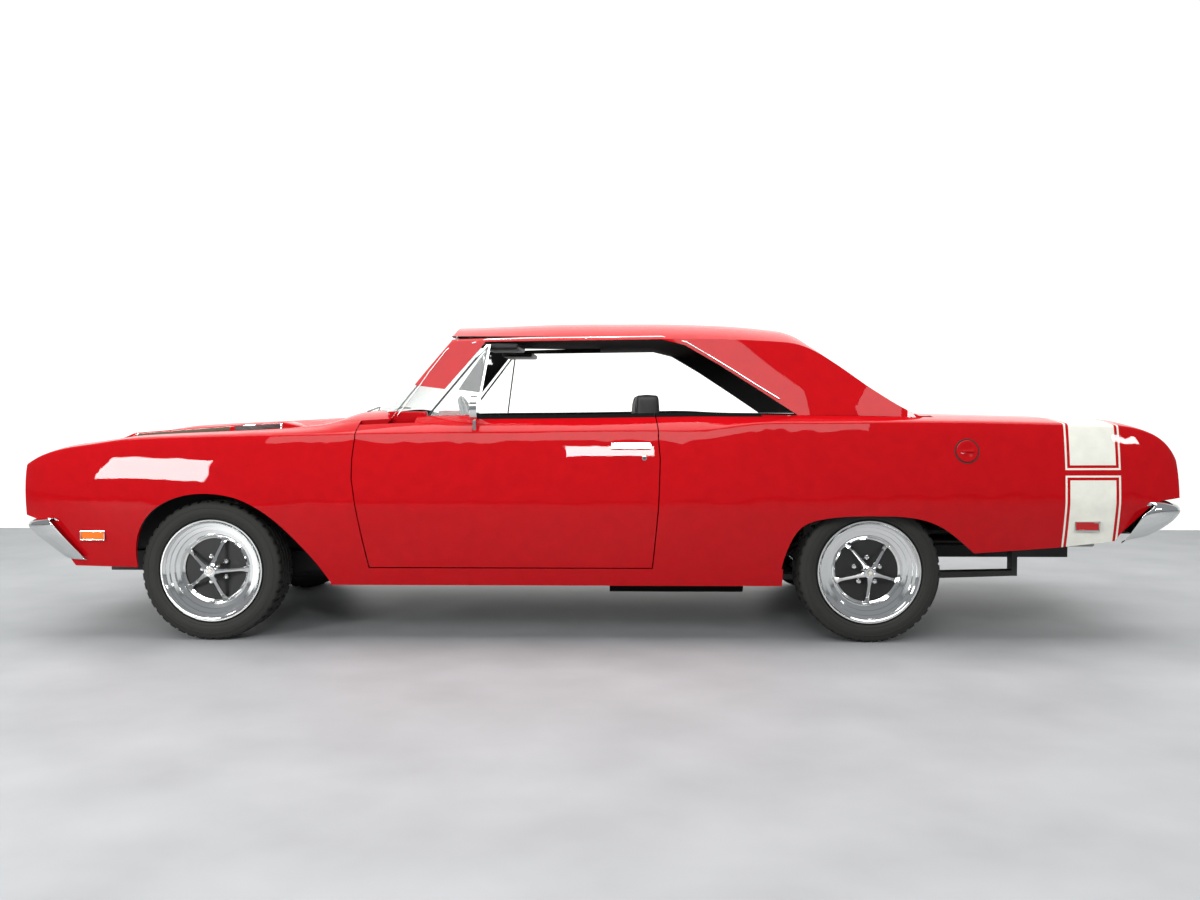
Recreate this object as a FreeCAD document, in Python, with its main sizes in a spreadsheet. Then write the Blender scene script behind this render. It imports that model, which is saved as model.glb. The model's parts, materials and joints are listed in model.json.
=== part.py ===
import FreeCAD, Part

import math
import os

import Sketcher

# A two door hardtop muscle car, in millimetres.
# The origin is on the floor under the middle of the car.
# The nose points to -X, the right hand side is +Y and up is +Z.

Vector = FreeCAD.Vector
OVERRUN_SHARE = 0.05

# Driving dimensions, kept in the spreadsheet.
SIZES = {
    "body_length": 4970.0,
    "body_width": 1770.0,
    "body_height": 1370.0,
    "wheelbase": 2820.0,
    "front_overhang": 835.0,
    "panel_skin": 24.0,
    "panel_gap": 5.0,
    "crest_radius": 16.0,
    "floor_height": 262.0,
    "floor_thickness": 14.0,
    "sill_bottom": 240.0,
    "sill_top": 322.0,
    "sill_depth": 110.0,
    "fender_bottom": 322.0,
    "quarter_bottom": 405.0,
    "belt_height": 940.0,
    "cabin_half_width": 700.0,
    "jamb_step": 28.0,
    "door_front": -1023.0,
    "door_rear": 287.0,
    "firewall_front": -1060.0,
    "firewall_thickness": 20.0,
    "hood_half_width": 715.0,
    "hood_front": -2385.0,
    "hood_rear": -1188.0,
    "cowl_rear": -820.0,
    "trunk_half_width": 640.0,
    "trunk_front": 1470.0,
    "trunk_rear": 2408.0,
    "nose_front": -2450.0,
    "nose_depth": 60.0,
    "tail_rear": 2462.0,
    "tail_depth": 50.0,
    "roof_thickness": 34.0,
    "windshield_base_centre": -1140.0,
    "windshield_base_side": -850.0,
    "windshield_top_centre": -665.0,
    "windshield_top_side": -545.0,
    "glass_thickness": 6.0,
    "backlight_top": 905.0,
    "backlight_base": 1235.0,
    "backlight_half_top": 520.0,
    "backlight_half_base": 600.0,
    "tyre_radius": 302.0,
    "front_tyre_width": 205.0,
    "rear_tyre_width": 215.0,
    "tyre_sides": 60.0,
    "wheel_outer_plane": 810.0,
    "rim_radius": 206.0,
    "rim_lip_radius": 219.0,
    "rim_wall": 6.0,
    "hub_radius": 72.0,
    "hub_thickness": 14.0,
    "spoke_width": 66.0,
    "spoke_thickness": 16.0,
    "spoke_count": 5.0,
    "cap_radius": 36.0,
    "cap_length": 34.0,
    "lug_radius": 11.0,
    "lug_length": 22.0,
    "lug_circle_radius": 57.0,
    "drum_radius": 140.0,
    "drum_width": 50.0,
    "seat_gap": 0.3,
    "upright_radius": 30.0,
    "upright_height": 250.0,
    "spindle_radius": 26.0,
    "axle_tube_radius": 38.0,
    "diff_radius": 118.0,
    "spring_half_track": 545.0,
    "spring_width": 62.0,
    "spring_thickness": 24.0,
    "spring_front": 610.0,
    "spring_rear": 1850.0,
    "engine_front": -1960.0,
    "engine_length": 640.0,
    "engine_width": 560.0,
    "engine_height": 638.0,
    "gearbox_length": 700.0,
    "gearbox_front_radius": 150.0,
    "gearbox_rear_radius": 75.0,
    "driveline_height": 345.0,
    "driveshaft_radius": 38.0,
    "front_bumper_tip": -2485.0,
    "rear_bumper_tip": 2485.0,
    "bumper_wall": 36.0,
    "front_bumper_top": 526.0,
    "front_bumper_bottom": 335.0,
    "rear_bumper_top": 605.0,
    "rear_bumper_bottom": 440.0,
    "lamp_radius": 92.0,
    "lamp_height": 655.0,
    "lamp_half_spacing": 640.0,
    "lamp_depth": 38.0,
    "tail_lamp_width": 300.0,
    "tail_lamp_height": 92.0,
    "tail_lamp_centre": 700.0,
    "tail_lamp_inner": 330.0,
    "marker_width": 98.0,
    "marker_height": 34.0,
    "marker_depth": 10.0,
    "seat_width": 490.0,
    "seat_depth": 520.0,
    "seat_centre": 410.0,
    "seat_base_height": 240.0,
    "seat_back_height": 560.0,
    "seat_back_thickness": 130.0,
    "seat_front": -300.0,
    "headrest_width": 270.0,
    "headrest_height": 150.0,
    "headrest_depth": 110.0,
    "rear_seat_front": 520.0,
    "rear_seat_width": 1060.0,
    "dash_rear": -640.0,
    "dash_height": 950.0,
    "dash_drop": 240.0,
    "wheel_centre_x": -555.0,
    "wheel_centre_y": -370.0,
    "wheel_centre_z": 870.0,
    "steering_rim_radius": 190.0,
    "steering_rim_thickness": 22.0,
    "steering_hub_radius": 46.0,
    "column_radius": 30.0,
    "column_length": 420.0,
    "steering_rake": 23.0,
    "tank_length": 620.0,
    "tank_width": 720.0,
    "tank_height": 130.0,
    "tank_front": 1560.0,
    "tank_bottom": 300.0,
    "exhaust_radius": 26.0,
    "exhaust_half_track": 330.0,
    "exhaust_height": 195.0,
    "muffler_radius": 56.0,
    "muffler_length": 620.0,
    "rail_width": 70.0,
    "rail_height": 90.0,
    "rail_half_track": 400.0,
    "rail_bottom": 250.0,
    "arm_thickness": 34.0,
    "radiator_width": 640.0,
    "radiator_height": 430.0,
    "radiator_front": -2180.0,
    "kingpin_half_track": 600.0,
    "hub_half_track": 715.0,
    "trunk_floor_height": 440.0,
    "trunk_floor_half": 540.0,
    "toe_rise": 200.0,
    "tunnel_half_base": 150.0,
    "tunnel_half_top": 110.0,
    "tunnel_rise": 205.0,
    "firewall_top": 850.0,
    "apron_wall": 12.0,
    "apron_top": 780.0,
    "radiator_support_half": 690.0,
    "radiator_depth": 60.0,
    "headrest_top": 1080.0,
    "rear_seat_depth": 470.0,
    "rear_cushion": 60.0,
    "rear_back_height": 430.0,
    "shelf_height": 915.0,
    "shelf_drop": 60.0,
    "dash_side_gap": 12.0,
    "steering_hub_length": 60.0,
    "steering_spokes": 3.0,
    "wheel_height_over_axle": 400.0,
    "tailpipe_half_track": 440.0,
    "tailpipe_height": 395.0,
    "tailpipe_end": 2260.0,
    "exhaust_front": -1250.0,
    "muffler_front": 60.0,
    "scoop_centre": 350.0,
    "scoop_width": 190.0,
    "vent_frame_wall": 14.0,
    "handle_depth": 18.0,
    "handle_length": 165.0,
    "handle_height": 832.0,
    "handle_rise": 24.0,
    "mirror_x": -526.0,
    "mirror_radius": 53.0,
    "mirror_depth": 30.0,
    "mirror_centre_y": 815.0,
    "mirror_centre_z": 999.0,
    "mirror_foot_z": 880.0,
    "mirror_stalk_radius": 8.0,
    "seal_width": 12.0,
    "bracket_width": 60.0,
    "bracket_height": 50.0,
    "hanger_width": 30.0,
}


class Size:
    """A length, with the spreadsheet expression that gives it."""

    def __init__(self, value, words):
        self.value = float(value)
        self.words = words

    def __float__(self):
        return self.value

    def __add__(self, other):
        other = sized(other)
        return Size(self.value + other.value, "(%s + %s)" % (self.words, other.words))

    def __sub__(self, other):
        other = sized(other)
        return Size(self.value - other.value, "(%s - %s)" % (self.words, other.words))

    def __mul__(self, other):
        other = sized(other)
        return Size(self.value * other.value, "(%s * %s)" % (self.words, other.words))

    def __truediv__(self, other):
        other = sized(other)
        return Size(self.value / other.value, "(%s / %s)" % (self.words, other.words))

    def __neg__(self):
        return Size(-self.value, "(0 - %s)" % self.words)

    def __radd__(self, other):
        return sized(other) + self

    def __rsub__(self, other):
        return sized(other) - self

    def __rmul__(self, other):
        return sized(other) * self


def sized(value):
    """A plain number as a Size."""
    if isinstance(value, Size):
        return value
    return Size(value, repr(float(value)))


doc = FreeCAD.newDocument("MuscleCar")
sheet = doc.addObject("Spreadsheet::Sheet", "Sizes")
for row, (name, value) in enumerate(SIZES.items(), start=1):
    sheet.set("A%d" % row, name)
    sheet.set("B%d" % row, str(value))
    sheet.setAlias("B%d" % row, name)
doc.recompute()


def size(name):
    """The named cell of the sheet."""
    return Size(sheet.get(name), "Sizes." + name)


def bind(item, field, value):
    """Ties one property to the sheet."""
    item.setExpression(field, sized(value).words)


LEFT = -1.0
RIGHT = 1.0
ZERO = Size(0.0, "0")

parts = []


# Helpers that draw sketches and features.
def new_body(label):
    body = doc.addObject("PartDesign::Body", label)
    body.Label = label
    parts.append(body)
    return body


def place(body, x=ZERO, y=ZERO, z=ZERO, axis=Vector(0, 0, 1), angle=ZERO):
    """Puts a body where the sheet says."""
    body.Placement = FreeCAD.Placement(Vector(0, 0, 0), FreeCAD.Rotation(axis, float(angle)))
    for field, value in (("x", x), ("y", y), ("z", z)):
        bind(body, "Placement.Base." + field, value)


def new_sketch(body, role, offset=ZERO, turn=0.0):
    """A sketch on one of the body's own planes, moved along its normal."""
    sketch = body.newObject("Sketcher::SketchObject", body.Name + "Sketch")
    plane = [item for item in body.Origin.OriginFeatures if item.Role == role][0]
    sketch.AttachmentSupport = [(plane, "")]
    sketch.MapMode = "FlatFace"
    rotation = FreeCAD.Rotation(Vector(0, 0, 1), turn)
    sketch.AttachmentOffset = FreeCAD.Placement(Vector(0, 0, 0), rotation)
    bind(sketch, "AttachmentOffset.Base.z", offset)
    return sketch


def pin_point(sketch, edge, end, point):
    """Ties one end of a sketch edge to sheet sizes."""
    for kind, value in (("DistanceX", point[0]), ("DistanceY", point[1])):
        value = sized(value)
        index = sketch.addConstraint(Sketcher.Constraint(kind, -1, 1, edge, end, value.value))
        sketch.setExpression("Constraints[%d]" % index, value.words)


def draw_outline(sketch, points, closed=True):
    """A closed outline through points that are tied to the sheet."""
    count = len(points)
    first = sketch.GeometryCount
    runs = count if closed else count - 1
    for index in range(runs):
        start = points[index]
        stop = points[(index + 1) % count]
        line = Part.LineSegment(
            Vector(float(start[0]), float(start[1]), 0), Vector(float(stop[0]), float(stop[1]), 0)
        )
        sketch.addGeometry(line)
    for index in range(runs):
        if closed or index < runs - 1:
            following = first + (index + 1) % runs
            sketch.addConstraint(Sketcher.Constraint("Coincident", first + index, 2, following, 1))
    for index in range(runs):
        pin_point(sketch, first + index, 1, points[index])
    if not closed:
        pin_point(sketch, first + runs - 1, 2, points[-1])
    return sketch


def draw_circle(sketch, centre, radius):
    """A circle tied to the sheet."""
    radius = sized(radius)
    middle = Vector(float(centre[0]), float(centre[1]), 0)
    index = sketch.addGeometry(Part.Circle(middle, Vector(0, 0, 1), radius.value))
    pin_point(sketch, index, 3, centre)
    constraint = sketch.addConstraint(Sketcher.Constraint("Radius", index, radius.value))
    sketch.setExpression("Constraints[%d]" % constraint, radius.words)
    return sketch


def draw_box(sketch, low, high):
    """An upright rectangle tied to the sheet."""
    points = [(low[0], low[1]), (high[0], low[1]), (high[0], high[1]), (low[0], high[1])]
    return draw_outline(sketch, points)


def feature(body, kind, sketch, length=None, symmetric=False, backwards=False):
    """A Pad, Pocket, Revolution or Groove on a sketch."""
    item = body.newObject("PartDesign::" + kind, body.Name + kind)
    if kind in ("Pad", "Pocket"):
        item.Profile = sketch
        bind(item, "Length", length)
        item.SideType = "Symmetric" if symmetric else "One side"
        item.Reversed = backwards
    else:
        item.Profile = sketch
        item.ReferenceAxis = (sketch, ["H_Axis"])
        item.Angle = 360.0
    return item


def pad(body, sketch, length, symmetric=False, backwards=False):
    return feature(body, "Pad", sketch, length, symmetric, backwards)


def pocket(body, sketch, length, symmetric=False, backwards=False):
    return feature(body, "Pocket", sketch, length, symmetric, backwards)


def revolve(body, sketch, axis="H_Axis"):
    item = feature(body, "Revolution", sketch)
    item.ReferenceAxis = (sketch, [axis])
    return item


def polar(body, item, sketch, count, axis="H_Axis"):
    """Repeats a feature round an axis of its sketch."""
    pattern = body.newObject("PartDesign::PolarPattern", body.Name + "Pattern")
    pattern.Originals = [item]
    pattern.Axis = (sketch, [axis])
    pattern.Angle = 360.0
    bind(pattern, "Occurrences", count)
    body.Tip = pattern
    return pattern


def round_edges(body, radius, picked):
    """Fillets the edges of the body's tip that the test picks."""
    doc.recompute()
    base = body.Tip
    names = []
    for index, edge in enumerate(base.Shape.Edges, start=1):
        if picked(edge):
            names.append("Edge%d" % index)
    item = body.newObject("PartDesign::Fillet", body.Name + "Fillet")
    item.Base = (base, names)
    bind(item, "Radius", radius)
    return item


def shaped(label, shape):
    """A sub-part whose surfaces are lofts, made with Part functions."""
    item = doc.addObject("Part::Feature", label)
    item.Label = label
    if shape.ShapeType == "Compound" and len(shape.Solids) == 1:
        shape = shape.Solids[0]
    item.Shape = shape
    parts.append(item)
    return item


def grouped(label, *members):
    """Like pieces on one body as one sub-part of solids that do not touch."""
    item = doc.addObject("Part::Compound", label)
    item.Label = label
    item.Links = [piece for piece in parts if piece.Label in members]
    for piece in item.Links:
        parts.remove(piece)
    parts.append(item)


# Values that are used in more than one place.
half_length = float(size("body_length")) / 2
half_width = float(size("body_width")) / 2
height = float(size("body_height"))
front_axle = -size("body_length") / 2 + size("front_overhang")
rear_axle = front_axle + size("wheelbase")
wheel_height = size("tyre_radius")
skin = float(size("panel_skin"))
gap = float(size("panel_gap"))
margin = float(size("body_width")) * OVERRUN_SHARE
far = half_width + margin


def value(name):
    return float(size(name))


# The lower body is one loft through cross sections.
# Each row gives, as shares of half the length, half the width and the height,
# the place of the section, its bottom, crease, crest, belt and crown.
BODY_SECTION_SHARES = (
    (-0.986, 0.820, 0.905, 0.430, 0.885, 0.562, 0.800, 0.570, 0.583),
    (-0.940, 0.850, 0.952, 0.430, 0.920, 0.601, 0.828, 0.611, 0.624),
    (-0.860, 0.870, 0.975, 0.430, 0.935, 0.626, 0.838, 0.637, 0.655),
    (-0.660, 0.885, 0.990, 0.430, 0.940, 0.644, 0.845, 0.660, 0.680),
    (-0.480, 0.892, 0.997, 0.430, 0.942, 0.650, 0.850, 0.675, 0.698),
    (-0.340, 0.895, 1.000, 0.430, 0.940, 0.655, 0.855, 0.686, 0.712),
    (-0.120, 0.895, 1.000, 0.430, 0.938, 0.659, 0.860, 0.690, 0.716),
    (0.120, 0.895, 1.000, 0.430, 0.938, 0.662, 0.864, 0.694, 0.716),
    (0.200, 0.895, 1.000, 0.431, 0.940, 0.666, 0.864, 0.696, 0.716),
    (0.260, 0.895, 1.000, 0.432, 0.945, 0.682, 0.864, 0.699, 0.716),
    (0.360, 0.893, 0.999, 0.434, 0.945, 0.688, 0.862, 0.700, 0.714),
    (0.480, 0.890, 0.997, 0.436, 0.945, 0.690, 0.850, 0.700, 0.712),
    (0.680, 0.880, 0.988, 0.438, 0.940, 0.688, 0.820, 0.697, 0.707),
    (0.840, 0.860, 0.972, 0.440, 0.925, 0.681, 0.800, 0.691, 0.699),
    (0.940, 0.840, 0.952, 0.442, 0.905, 0.657, 0.780, 0.668, 0.676),
    (0.991, 0.820, 0.930, 0.444, 0.885, 0.573, 0.760, 0.578, 0.586),
)
LOWER_BULGE_SHARE = 0.30
UPPER_BULGE_SHARE = 0.010


def slopes_of(steps, rises):
    """Slopes at each place that let a smooth curve pass without waves."""
    secants = [rise / step for rise, step in zip(rises, steps)]
    slopes = [secants[0]]
    for before, after in zip(secants, secants[1:]):
        if before * after <= 0:
            slopes.append(0.0)
        else:
            slopes.append(2 * before * after / (before + after))
    slopes.append(secants[-1])
    return slopes


def refined(rows):
    """The same stations with one more between each pair, on a smooth curve."""
    places = [row[0] for row in rows]
    steps = [after - before for before, after in zip(places, places[1:])]
    columns = []
    for column in range(1, len(rows[0])):
        heights = [row[column] for row in rows]
        rises = [after - before for before, after in zip(heights, heights[1:])]
        columns.append((heights, slopes_of(steps, rises)))
    result = []
    for index, step in enumerate(steps):
        result.append(rows[index])
        middle = [places[index] + step / 2]
        for heights, slopes in columns:
            mean = (heights[index] + heights[index + 1]) / 2
            middle.append(mean + (slopes[index] - slopes[index + 1]) * step / 8)
        result.append(tuple(middle))
    result.append(rows[-1])
    return result


def mirrored(point):
    return Vector(point.x, -point.y, point.z)


def spline(points):
    curve = Part.BSplineCurve()
    curve.interpolate(points)
    return curve.toShape()


def body_section(shares, inset, drop):
    """One closed cross section of the lower body, moved in by a wall."""
    station, bottom_y, crease_y, crease_z, crest_y, crest_z, belt_y, belt_z, crown_z = shares
    x = station * half_length
    bottom = value("sill_bottom") - drop
    low = Vector(x, bottom_y * half_width - inset, bottom)
    crease = Vector(x, crease_y * half_width - inset, crease_z * height)
    crest = Vector(x, crest_y * half_width - inset, crest_z * height - inset)
    belt = Vector(x, belt_y * half_width - inset, belt_z * height - inset)
    crown = Vector(x, 0, crown_z * height - inset)
    flank = (crease + crest) / 2 + Vector(0, UPPER_BULGE_SHARE * half_width, 0)
    tuck = low + (crease - low) * (1 - LOWER_BULGE_SHARE)
    tuck = tuck + Vector(0, UPPER_BULGE_SHARE * half_width, 0)
    edges = [
        Part.LineSegment(mirrored(low), low).toShape(),
        spline([low, tuck, crease]),
        spline([crease, flank, crest]),
        spline([crest, belt, crown, mirrored(belt), mirrored(crest)]),
        spline([mirrored(crest), mirrored(flank), mirrored(crease)]),
        spline([mirrored(crease), mirrored(tuck), mirrored(low)]),
    ]
    return Part.Wire(edges)


def body_solid(inset=0.0, drop=0.0):
    sections = [body_section(shares, inset, drop) for shares in BODY_SECTION_SHARES]
    return Part.makeLoft(sections, True, False)


def side_face(points, y):
    return Part.Face(Part.makePolygon([Vector(float(x), y, float(z)) for x, z in points + points[:1]]))


def side_prism(points, inner, outer):
    """A prism across the car with the given side outline."""
    return side_face(list(points), inner).extrude(Vector(0, outer - inner, 0))


def side_curve_prism(points, inner, outer):
    """A prism across the car with a smooth top and a straight bottom."""
    corners = [Vector(float(x), inner, float(z)) for x, z in points]
    edges = [spline(corners), Part.LineSegment(corners[-1], corners[0]).toShape()]
    return Part.Face(Part.Wire(edges)).extrude(Vector(0, outer - inner, 0))


def block(low, high):
    """A box between two corners."""
    low = Vector(*[float(item) for item in low])
    high = Vector(*[float(item) for item in high])
    step = high - low
    return Part.makeBox(step.x, step.y, step.z, low)


def sorted_box(low, high):
    """A box from any two opposite corners."""
    pairs = [sorted((float(a), float(b))) for a, b in zip(low, high)]
    return block([pair[0] for pair in pairs], [pair[1] for pair in pairs])


def keep_side(shape, side, inner):
    """The piece of a shape that lies outside a plane on one side of the car."""
    low = min(side * inner, side * far)
    high = max(side * inner, side * far)
    return shape.common(block((-half_length - margin, low, -margin), (half_length + margin, high, 2 * height)))


outer_body = body_solid()
crest_edges = []
for edge in outer_body.Edges:
    if edge.Length > half_length and edge.valueAt(edge.FirstParameter).z > height / 2:
        crest_edges.append(edge)
outer_body = outer_body.makeFillet(value("crest_radius"), crest_edges)
inner_body = body_solid(skin, margin)
body_skin = outer_body.cut(inner_body)
lining_body = body_solid(skin + value("seat_gap"), margin)

# Wheel arch outlines, as shares of the tyre radius from the wheel centre line.
FRONT_ARCH_SHARES = (
    (-1.09, -0.30), (-1.05, 1.05), (-0.97, 1.57), (-0.78, 1.84), (-0.40, 2.06), (0.05, 2.115),
    (0.50, 2.03), (0.92, 1.78), (1.30, 1.40), (1.61, 0.99), (1.85, 0.50), (2.15, -0.30),
)
REAR_ARCH_SHARES = (
    (-1.42, -0.30), (-1.27, 0.85), (-1.14, 1.42), (-0.98, 1.66), (-0.70, 1.77), (0.00, 1.815),
    (0.60, 1.78), (0.95, 1.66), (1.33, 1.374), (1.75, 1.00), (2.20, -0.30),
)


def arch_points(shares, axle):
    radius = value("tyre_radius")
    return [(float(axle) + x * radius, z * radius) for x, z in shares]


front_arch = side_curve_prism(arch_points(FRONT_ARCH_SHARES, front_axle), -far, far)
rear_arch = side_curve_prism(arch_points(REAR_ARCH_SHARES, rear_axle), -far, far)

# The door outline in side view. The front and rear cuts bow with the body side.
DOOR_FRONT_SHARES = (
    (0.100, 0.115), (0.056, 0.34), (0.000, 0.66), (0.000, 0.78), (0.013, 0.90), (0.060, 1.02),
)
DOOR_REAR_SHARES = ((0.000, 1.02), (0.008, 0.90), (0.000, 0.78), (0.016, 0.50), (0.045, 0.115))
door_length = value("door_rear") - value("door_front")


def door_outline(grow, sweep=0.0):
    """The door's cut line, grown outwards and with its rear cut moved in."""
    floor = value("sill_top")
    rise = value("belt_height") - floor
    points = []
    for share, level in DOOR_FRONT_SHARES:
        z = floor + (level - DOOR_FRONT_SHARES[0][1]) / (1 - DOOR_FRONT_SHARES[0][1]) * rise
        points.append((value("door_front") + share * rise - grow, z))
    for share, level in DOOR_REAR_SHARES:
        z = floor + (level - DOOR_FRONT_SHARES[0][1]) / (1 - DOOR_FRONT_SHARES[0][1]) * rise
        points.append((value("door_rear") - share * rise + grow - sweep, z))
    points[0] = (points[0][0], floor - grow)
    points[-1] = (points[-1][0], floor - grow)
    lift = height - points[5][1]
    points[5] = (points[5][0], points[5][1] + lift)
    points[6] = (points[6][0], points[6][1] + lift)
    return points


def door_cutter(side, grow):
    """The door's prism, whose rear cut leans forward on the way in."""
    inner = value("cabin_half_width") - margin
    wires = []
    for y, sweep in ((inner, value("jamb_step") * (far - inner) / (half_width - inner)), (far, 0.0)):
        points = door_outline(grow, sweep)
        corners = [Vector(x, side * y, z) for x, z in points]
        wires.append(Part.makePolygon(corners + corners[:1]))
    return Part.makeLoft(wires, True, True)


# The seams of the hood, trunk lid, nose and cowl.
body_bottom = value("sill_bottom")
hood_half = value("hood_half_width")
trunk_half = value("trunk_half_width")
top_limit = 2 * height
nose_shares = ((-0.986, 0.395), (-0.955, 0.380), (-0.934, 0.335), (-0.902, 0.235))


def nose_line():
    """The lower front edge of the fenders, behind the bumper."""
    return [(x * half_length, z * height) for x, z in nose_shares]


tail_shares = (
    (0.645, 0.283), (0.780, 0.300), (0.862, 0.316), (0.884, 0.322), (0.893, 0.347), (0.938, 0.428), (0.955, 0.446),
    (0.991, 0.455),
)


def tail_line():
    """The lower rear edge of the quarters, over the bumper."""
    return [(x * half_length, z * height) for x, z in tail_shares]


fender_outline = nose_line() + [
    (float(front_axle), value("fender_bottom") - skin / 2),
    (float(front_axle), body_bottom - margin),
    (value("door_rear"), body_bottom - margin),
    (value("door_rear"), top_limit),
    (-half_length - margin, top_limit),
    (-half_length - margin, nose_line()[0][1]),
]
quarter_outline = [
    (value("door_front"), body_bottom - margin),
    (float(rear_axle), body_bottom - margin),
    (float(rear_axle), value("quarter_bottom") - skin),
] + tail_line() + [
    (half_length + margin, tail_line()[-1][1]),
    (half_length + margin, top_limit),
    (value("door_front"), top_limit),
]
hood_slot = block(
    (-half_length - margin, -hood_half - gap / 2, height / 2),
    (value("hood_rear") + gap, hood_half + gap / 2, top_limit),
)
cowl_box = block(
    (value("hood_rear") + gap, -hood_half - gap / 2, height / 2),
    (value("cowl_rear"), hood_half + gap / 2, top_limit),
)
trunk_slot = block(
    (value("trunk_front") - gap, -trunk_half - gap, value("tail_lamp_centre") - value("tail_lamp_height")),
    (half_length + margin, trunk_half + gap, top_limit),
)
cabin_slot = block(
    (value("cowl_rear"), -value("cabin_half_width"), -margin),
    (value("trunk_front") - gap, value("cabin_half_width"), top_limit),
)
sill_slot = block(
    (value("door_front") - margin, -far, -margin),
    (float(rear_axle) - 1.27 * value("tyre_radius"), far, value("sill_top") - gap),
)

# The greenhouse is a second loft, with the windshield surface cut across its front.
ROOF_SECTION_SHARES = (
    (-0.520, 0.858, 0.678, 0.935, 0.985),
    (-0.360, 0.858, 0.684, 0.940, 0.988),
    (-0.220, 0.858, 0.690, 0.946, 0.994),
    (-0.040, 0.862, 0.700, 0.951, 1.005),
    (0.120, 0.864, 0.700, 0.953, 1.005),
    (0.270, 0.864, 0.692, 0.948, 0.994),
    (0.356, 0.862, 0.680, 0.935, 0.972),
    (0.410, 0.858, 0.690, 0.890, 0.908),
    (0.476, 0.852, 0.730, 0.804, 0.818),
    (0.532, 0.846, 0.780, 0.736, 0.748),
    (0.579, 0.840, 0.820, 0.690, 0.696),
    (0.630, 0.835, 0.822, 0.640, 0.645),
)


def roof_section(shares, inset):
    """One closed cross section of the cabin top."""
    station, belt_y, rail_y, rail_z, crown_z = shares
    x = station * half_length
    low = Vector(x, belt_y * half_width - inset, value("belt_height") - 3 * margin)
    sill = Vector(x, belt_y * half_width - inset, value("belt_height") - 2 * margin)
    rail = Vector(x, rail_y * half_width - inset, rail_z * height - inset)
    brow = Vector(x, rail_y * half_width * 0.72 - inset, (rail_z * 0.35 + crown_z * 0.65) * height - inset)
    crown = Vector(x, 0, crown_z * height - inset)
    edges = [
        Part.LineSegment(mirrored(low), low).toShape(),
        Part.LineSegment(low, sill).toShape(),
        Part.LineSegment(sill, rail).toShape(),
        spline([rail, brow, crown, mirrored(brow), mirrored(rail)]),
        Part.LineSegment(mirrored(rail), mirrored(sill)).toShape(),
        Part.LineSegment(mirrored(sill), mirrored(low)).toShape(),
    ]
    return Part.Wire(edges)


def windshield_wedge(back):
    """All that lies behind the curved windshield, moved back by a wall."""
    wires = []
    levels = (
        (value("belt_height"), "windshield_base_centre", "windshield_base_side"),
        (0.985 * height, "windshield_top_centre", "windshield_top_side"),
    )
    low_z, low_centre, low_side = levels[0]
    high_z, high_centre, high_side = levels[1]
    for level in (-0.8, 1.4):
        z = low_z + level * (high_z - low_z)
        centre = value(low_centre) + level * (value(high_centre) - value(low_centre)) + back
        side = value(low_side) + level * (value(high_side) - value(low_side)) + back
        span = half_width * 0.84
        reach = half_width + margin
        edge_x = centre + (side - centre) * (reach / span) ** 2
        arc = Part.Arc(Vector(edge_x, -reach, z), Vector(centre, 0, z), Vector(edge_x, reach, z)).toShape()
        rear = half_length
        lines = Part.makePolygon([
            Vector(edge_x, reach, z), Vector(rear, reach, z),
            Vector(rear, -reach, z), Vector(edge_x, -reach, z),
        ])
        wires.append(Part.Wire([arc] + lines.Edges))
    return Part.makeLoft(wires, True, True)


def roof_solid(inset):
    sections = [roof_section(shares, inset) for shares in refined(ROOF_SECTION_SHARES)]
    return Part.makeLoft(sections, True, False)


roof_wall = value("roof_thickness")
greenhouse = roof_solid(0.0).common(windshield_wedge(0.0))
greenhouse_inner = roof_solid(roof_wall).common(windshield_wedge(roof_wall))
greenhouse_low = roof_solid(roof_wall)
greenhouse_low.translate(Vector(0, 0, -6 * roof_wall))
cabin_void = greenhouse_inner.fuse(greenhouse_low.common(windshield_wedge(roof_wall)))

# The window openings.
WINDOW_SHARES = (
    (-0.316, 0.680), (-0.195, 0.944), (0.117, 0.951), (0.157, 0.933), (0.217, 0.870), (0.287, 0.788),
    (0.352, 0.710), (0.352, 0.680),
)
window_points = [(x * half_length, z * height) for x, z in WINDOW_SHARES]
side_window = side_prism(window_points, -far, far)
windshield_low = value("belt_height") + skin / 2
windshield_high = 0.960 * height


def front_opening(shrink):
    """The windshield opening as a prism along the car."""
    low_half = 0.812 * half_width - shrink
    high_half = 0.655 * half_width - shrink
    low = windshield_low + shrink
    high = windshield_high - shrink
    start = value("windshield_base_centre") - 2 * margin
    corners = [
        Vector(start, -low_half, low), Vector(start, low_half, low),
        Vector(start, high_half, high), Vector(start, -high_half, high),
    ]
    face = Part.Face(Part.makePolygon(corners + corners[:1]))
    return face.extrude(Vector(-start, 0, 0))


def backlight_cutter(forward, shrink):
    """All that lies behind the rear window, between the sail panels."""
    top = value("backlight_top") - forward
    base = value("backlight_base") - forward
    low_z = value("belt_height") - 2 * margin
    high_z = 1.1 * height
    run = (base - top) / (0.965 * height - value("belt_height"))
    wires = []
    for z in (low_z, high_z):
        x = base - (z - value("belt_height")) * run
        share = (z - value("belt_height")) / (0.965 * height - value("belt_height"))
        half = value("backlight_half_base") + share * (
            value("backlight_half_top") - value("backlight_half_base")
        ) - shrink
        corners = [
            Vector(x, -half, z), Vector(x, half, z),
            Vector(half_length, half, z), Vector(half_length, -half, z),
        ]
        wires.append(Part.makePolygon(corners + corners[:1]))
    return Part.makeLoft(wires, True, True)


def solid_only(shape):
    """The largest solid of a cut, without slivers."""
    return max(shape.Solids, key=lambda item: item.Volume)


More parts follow.
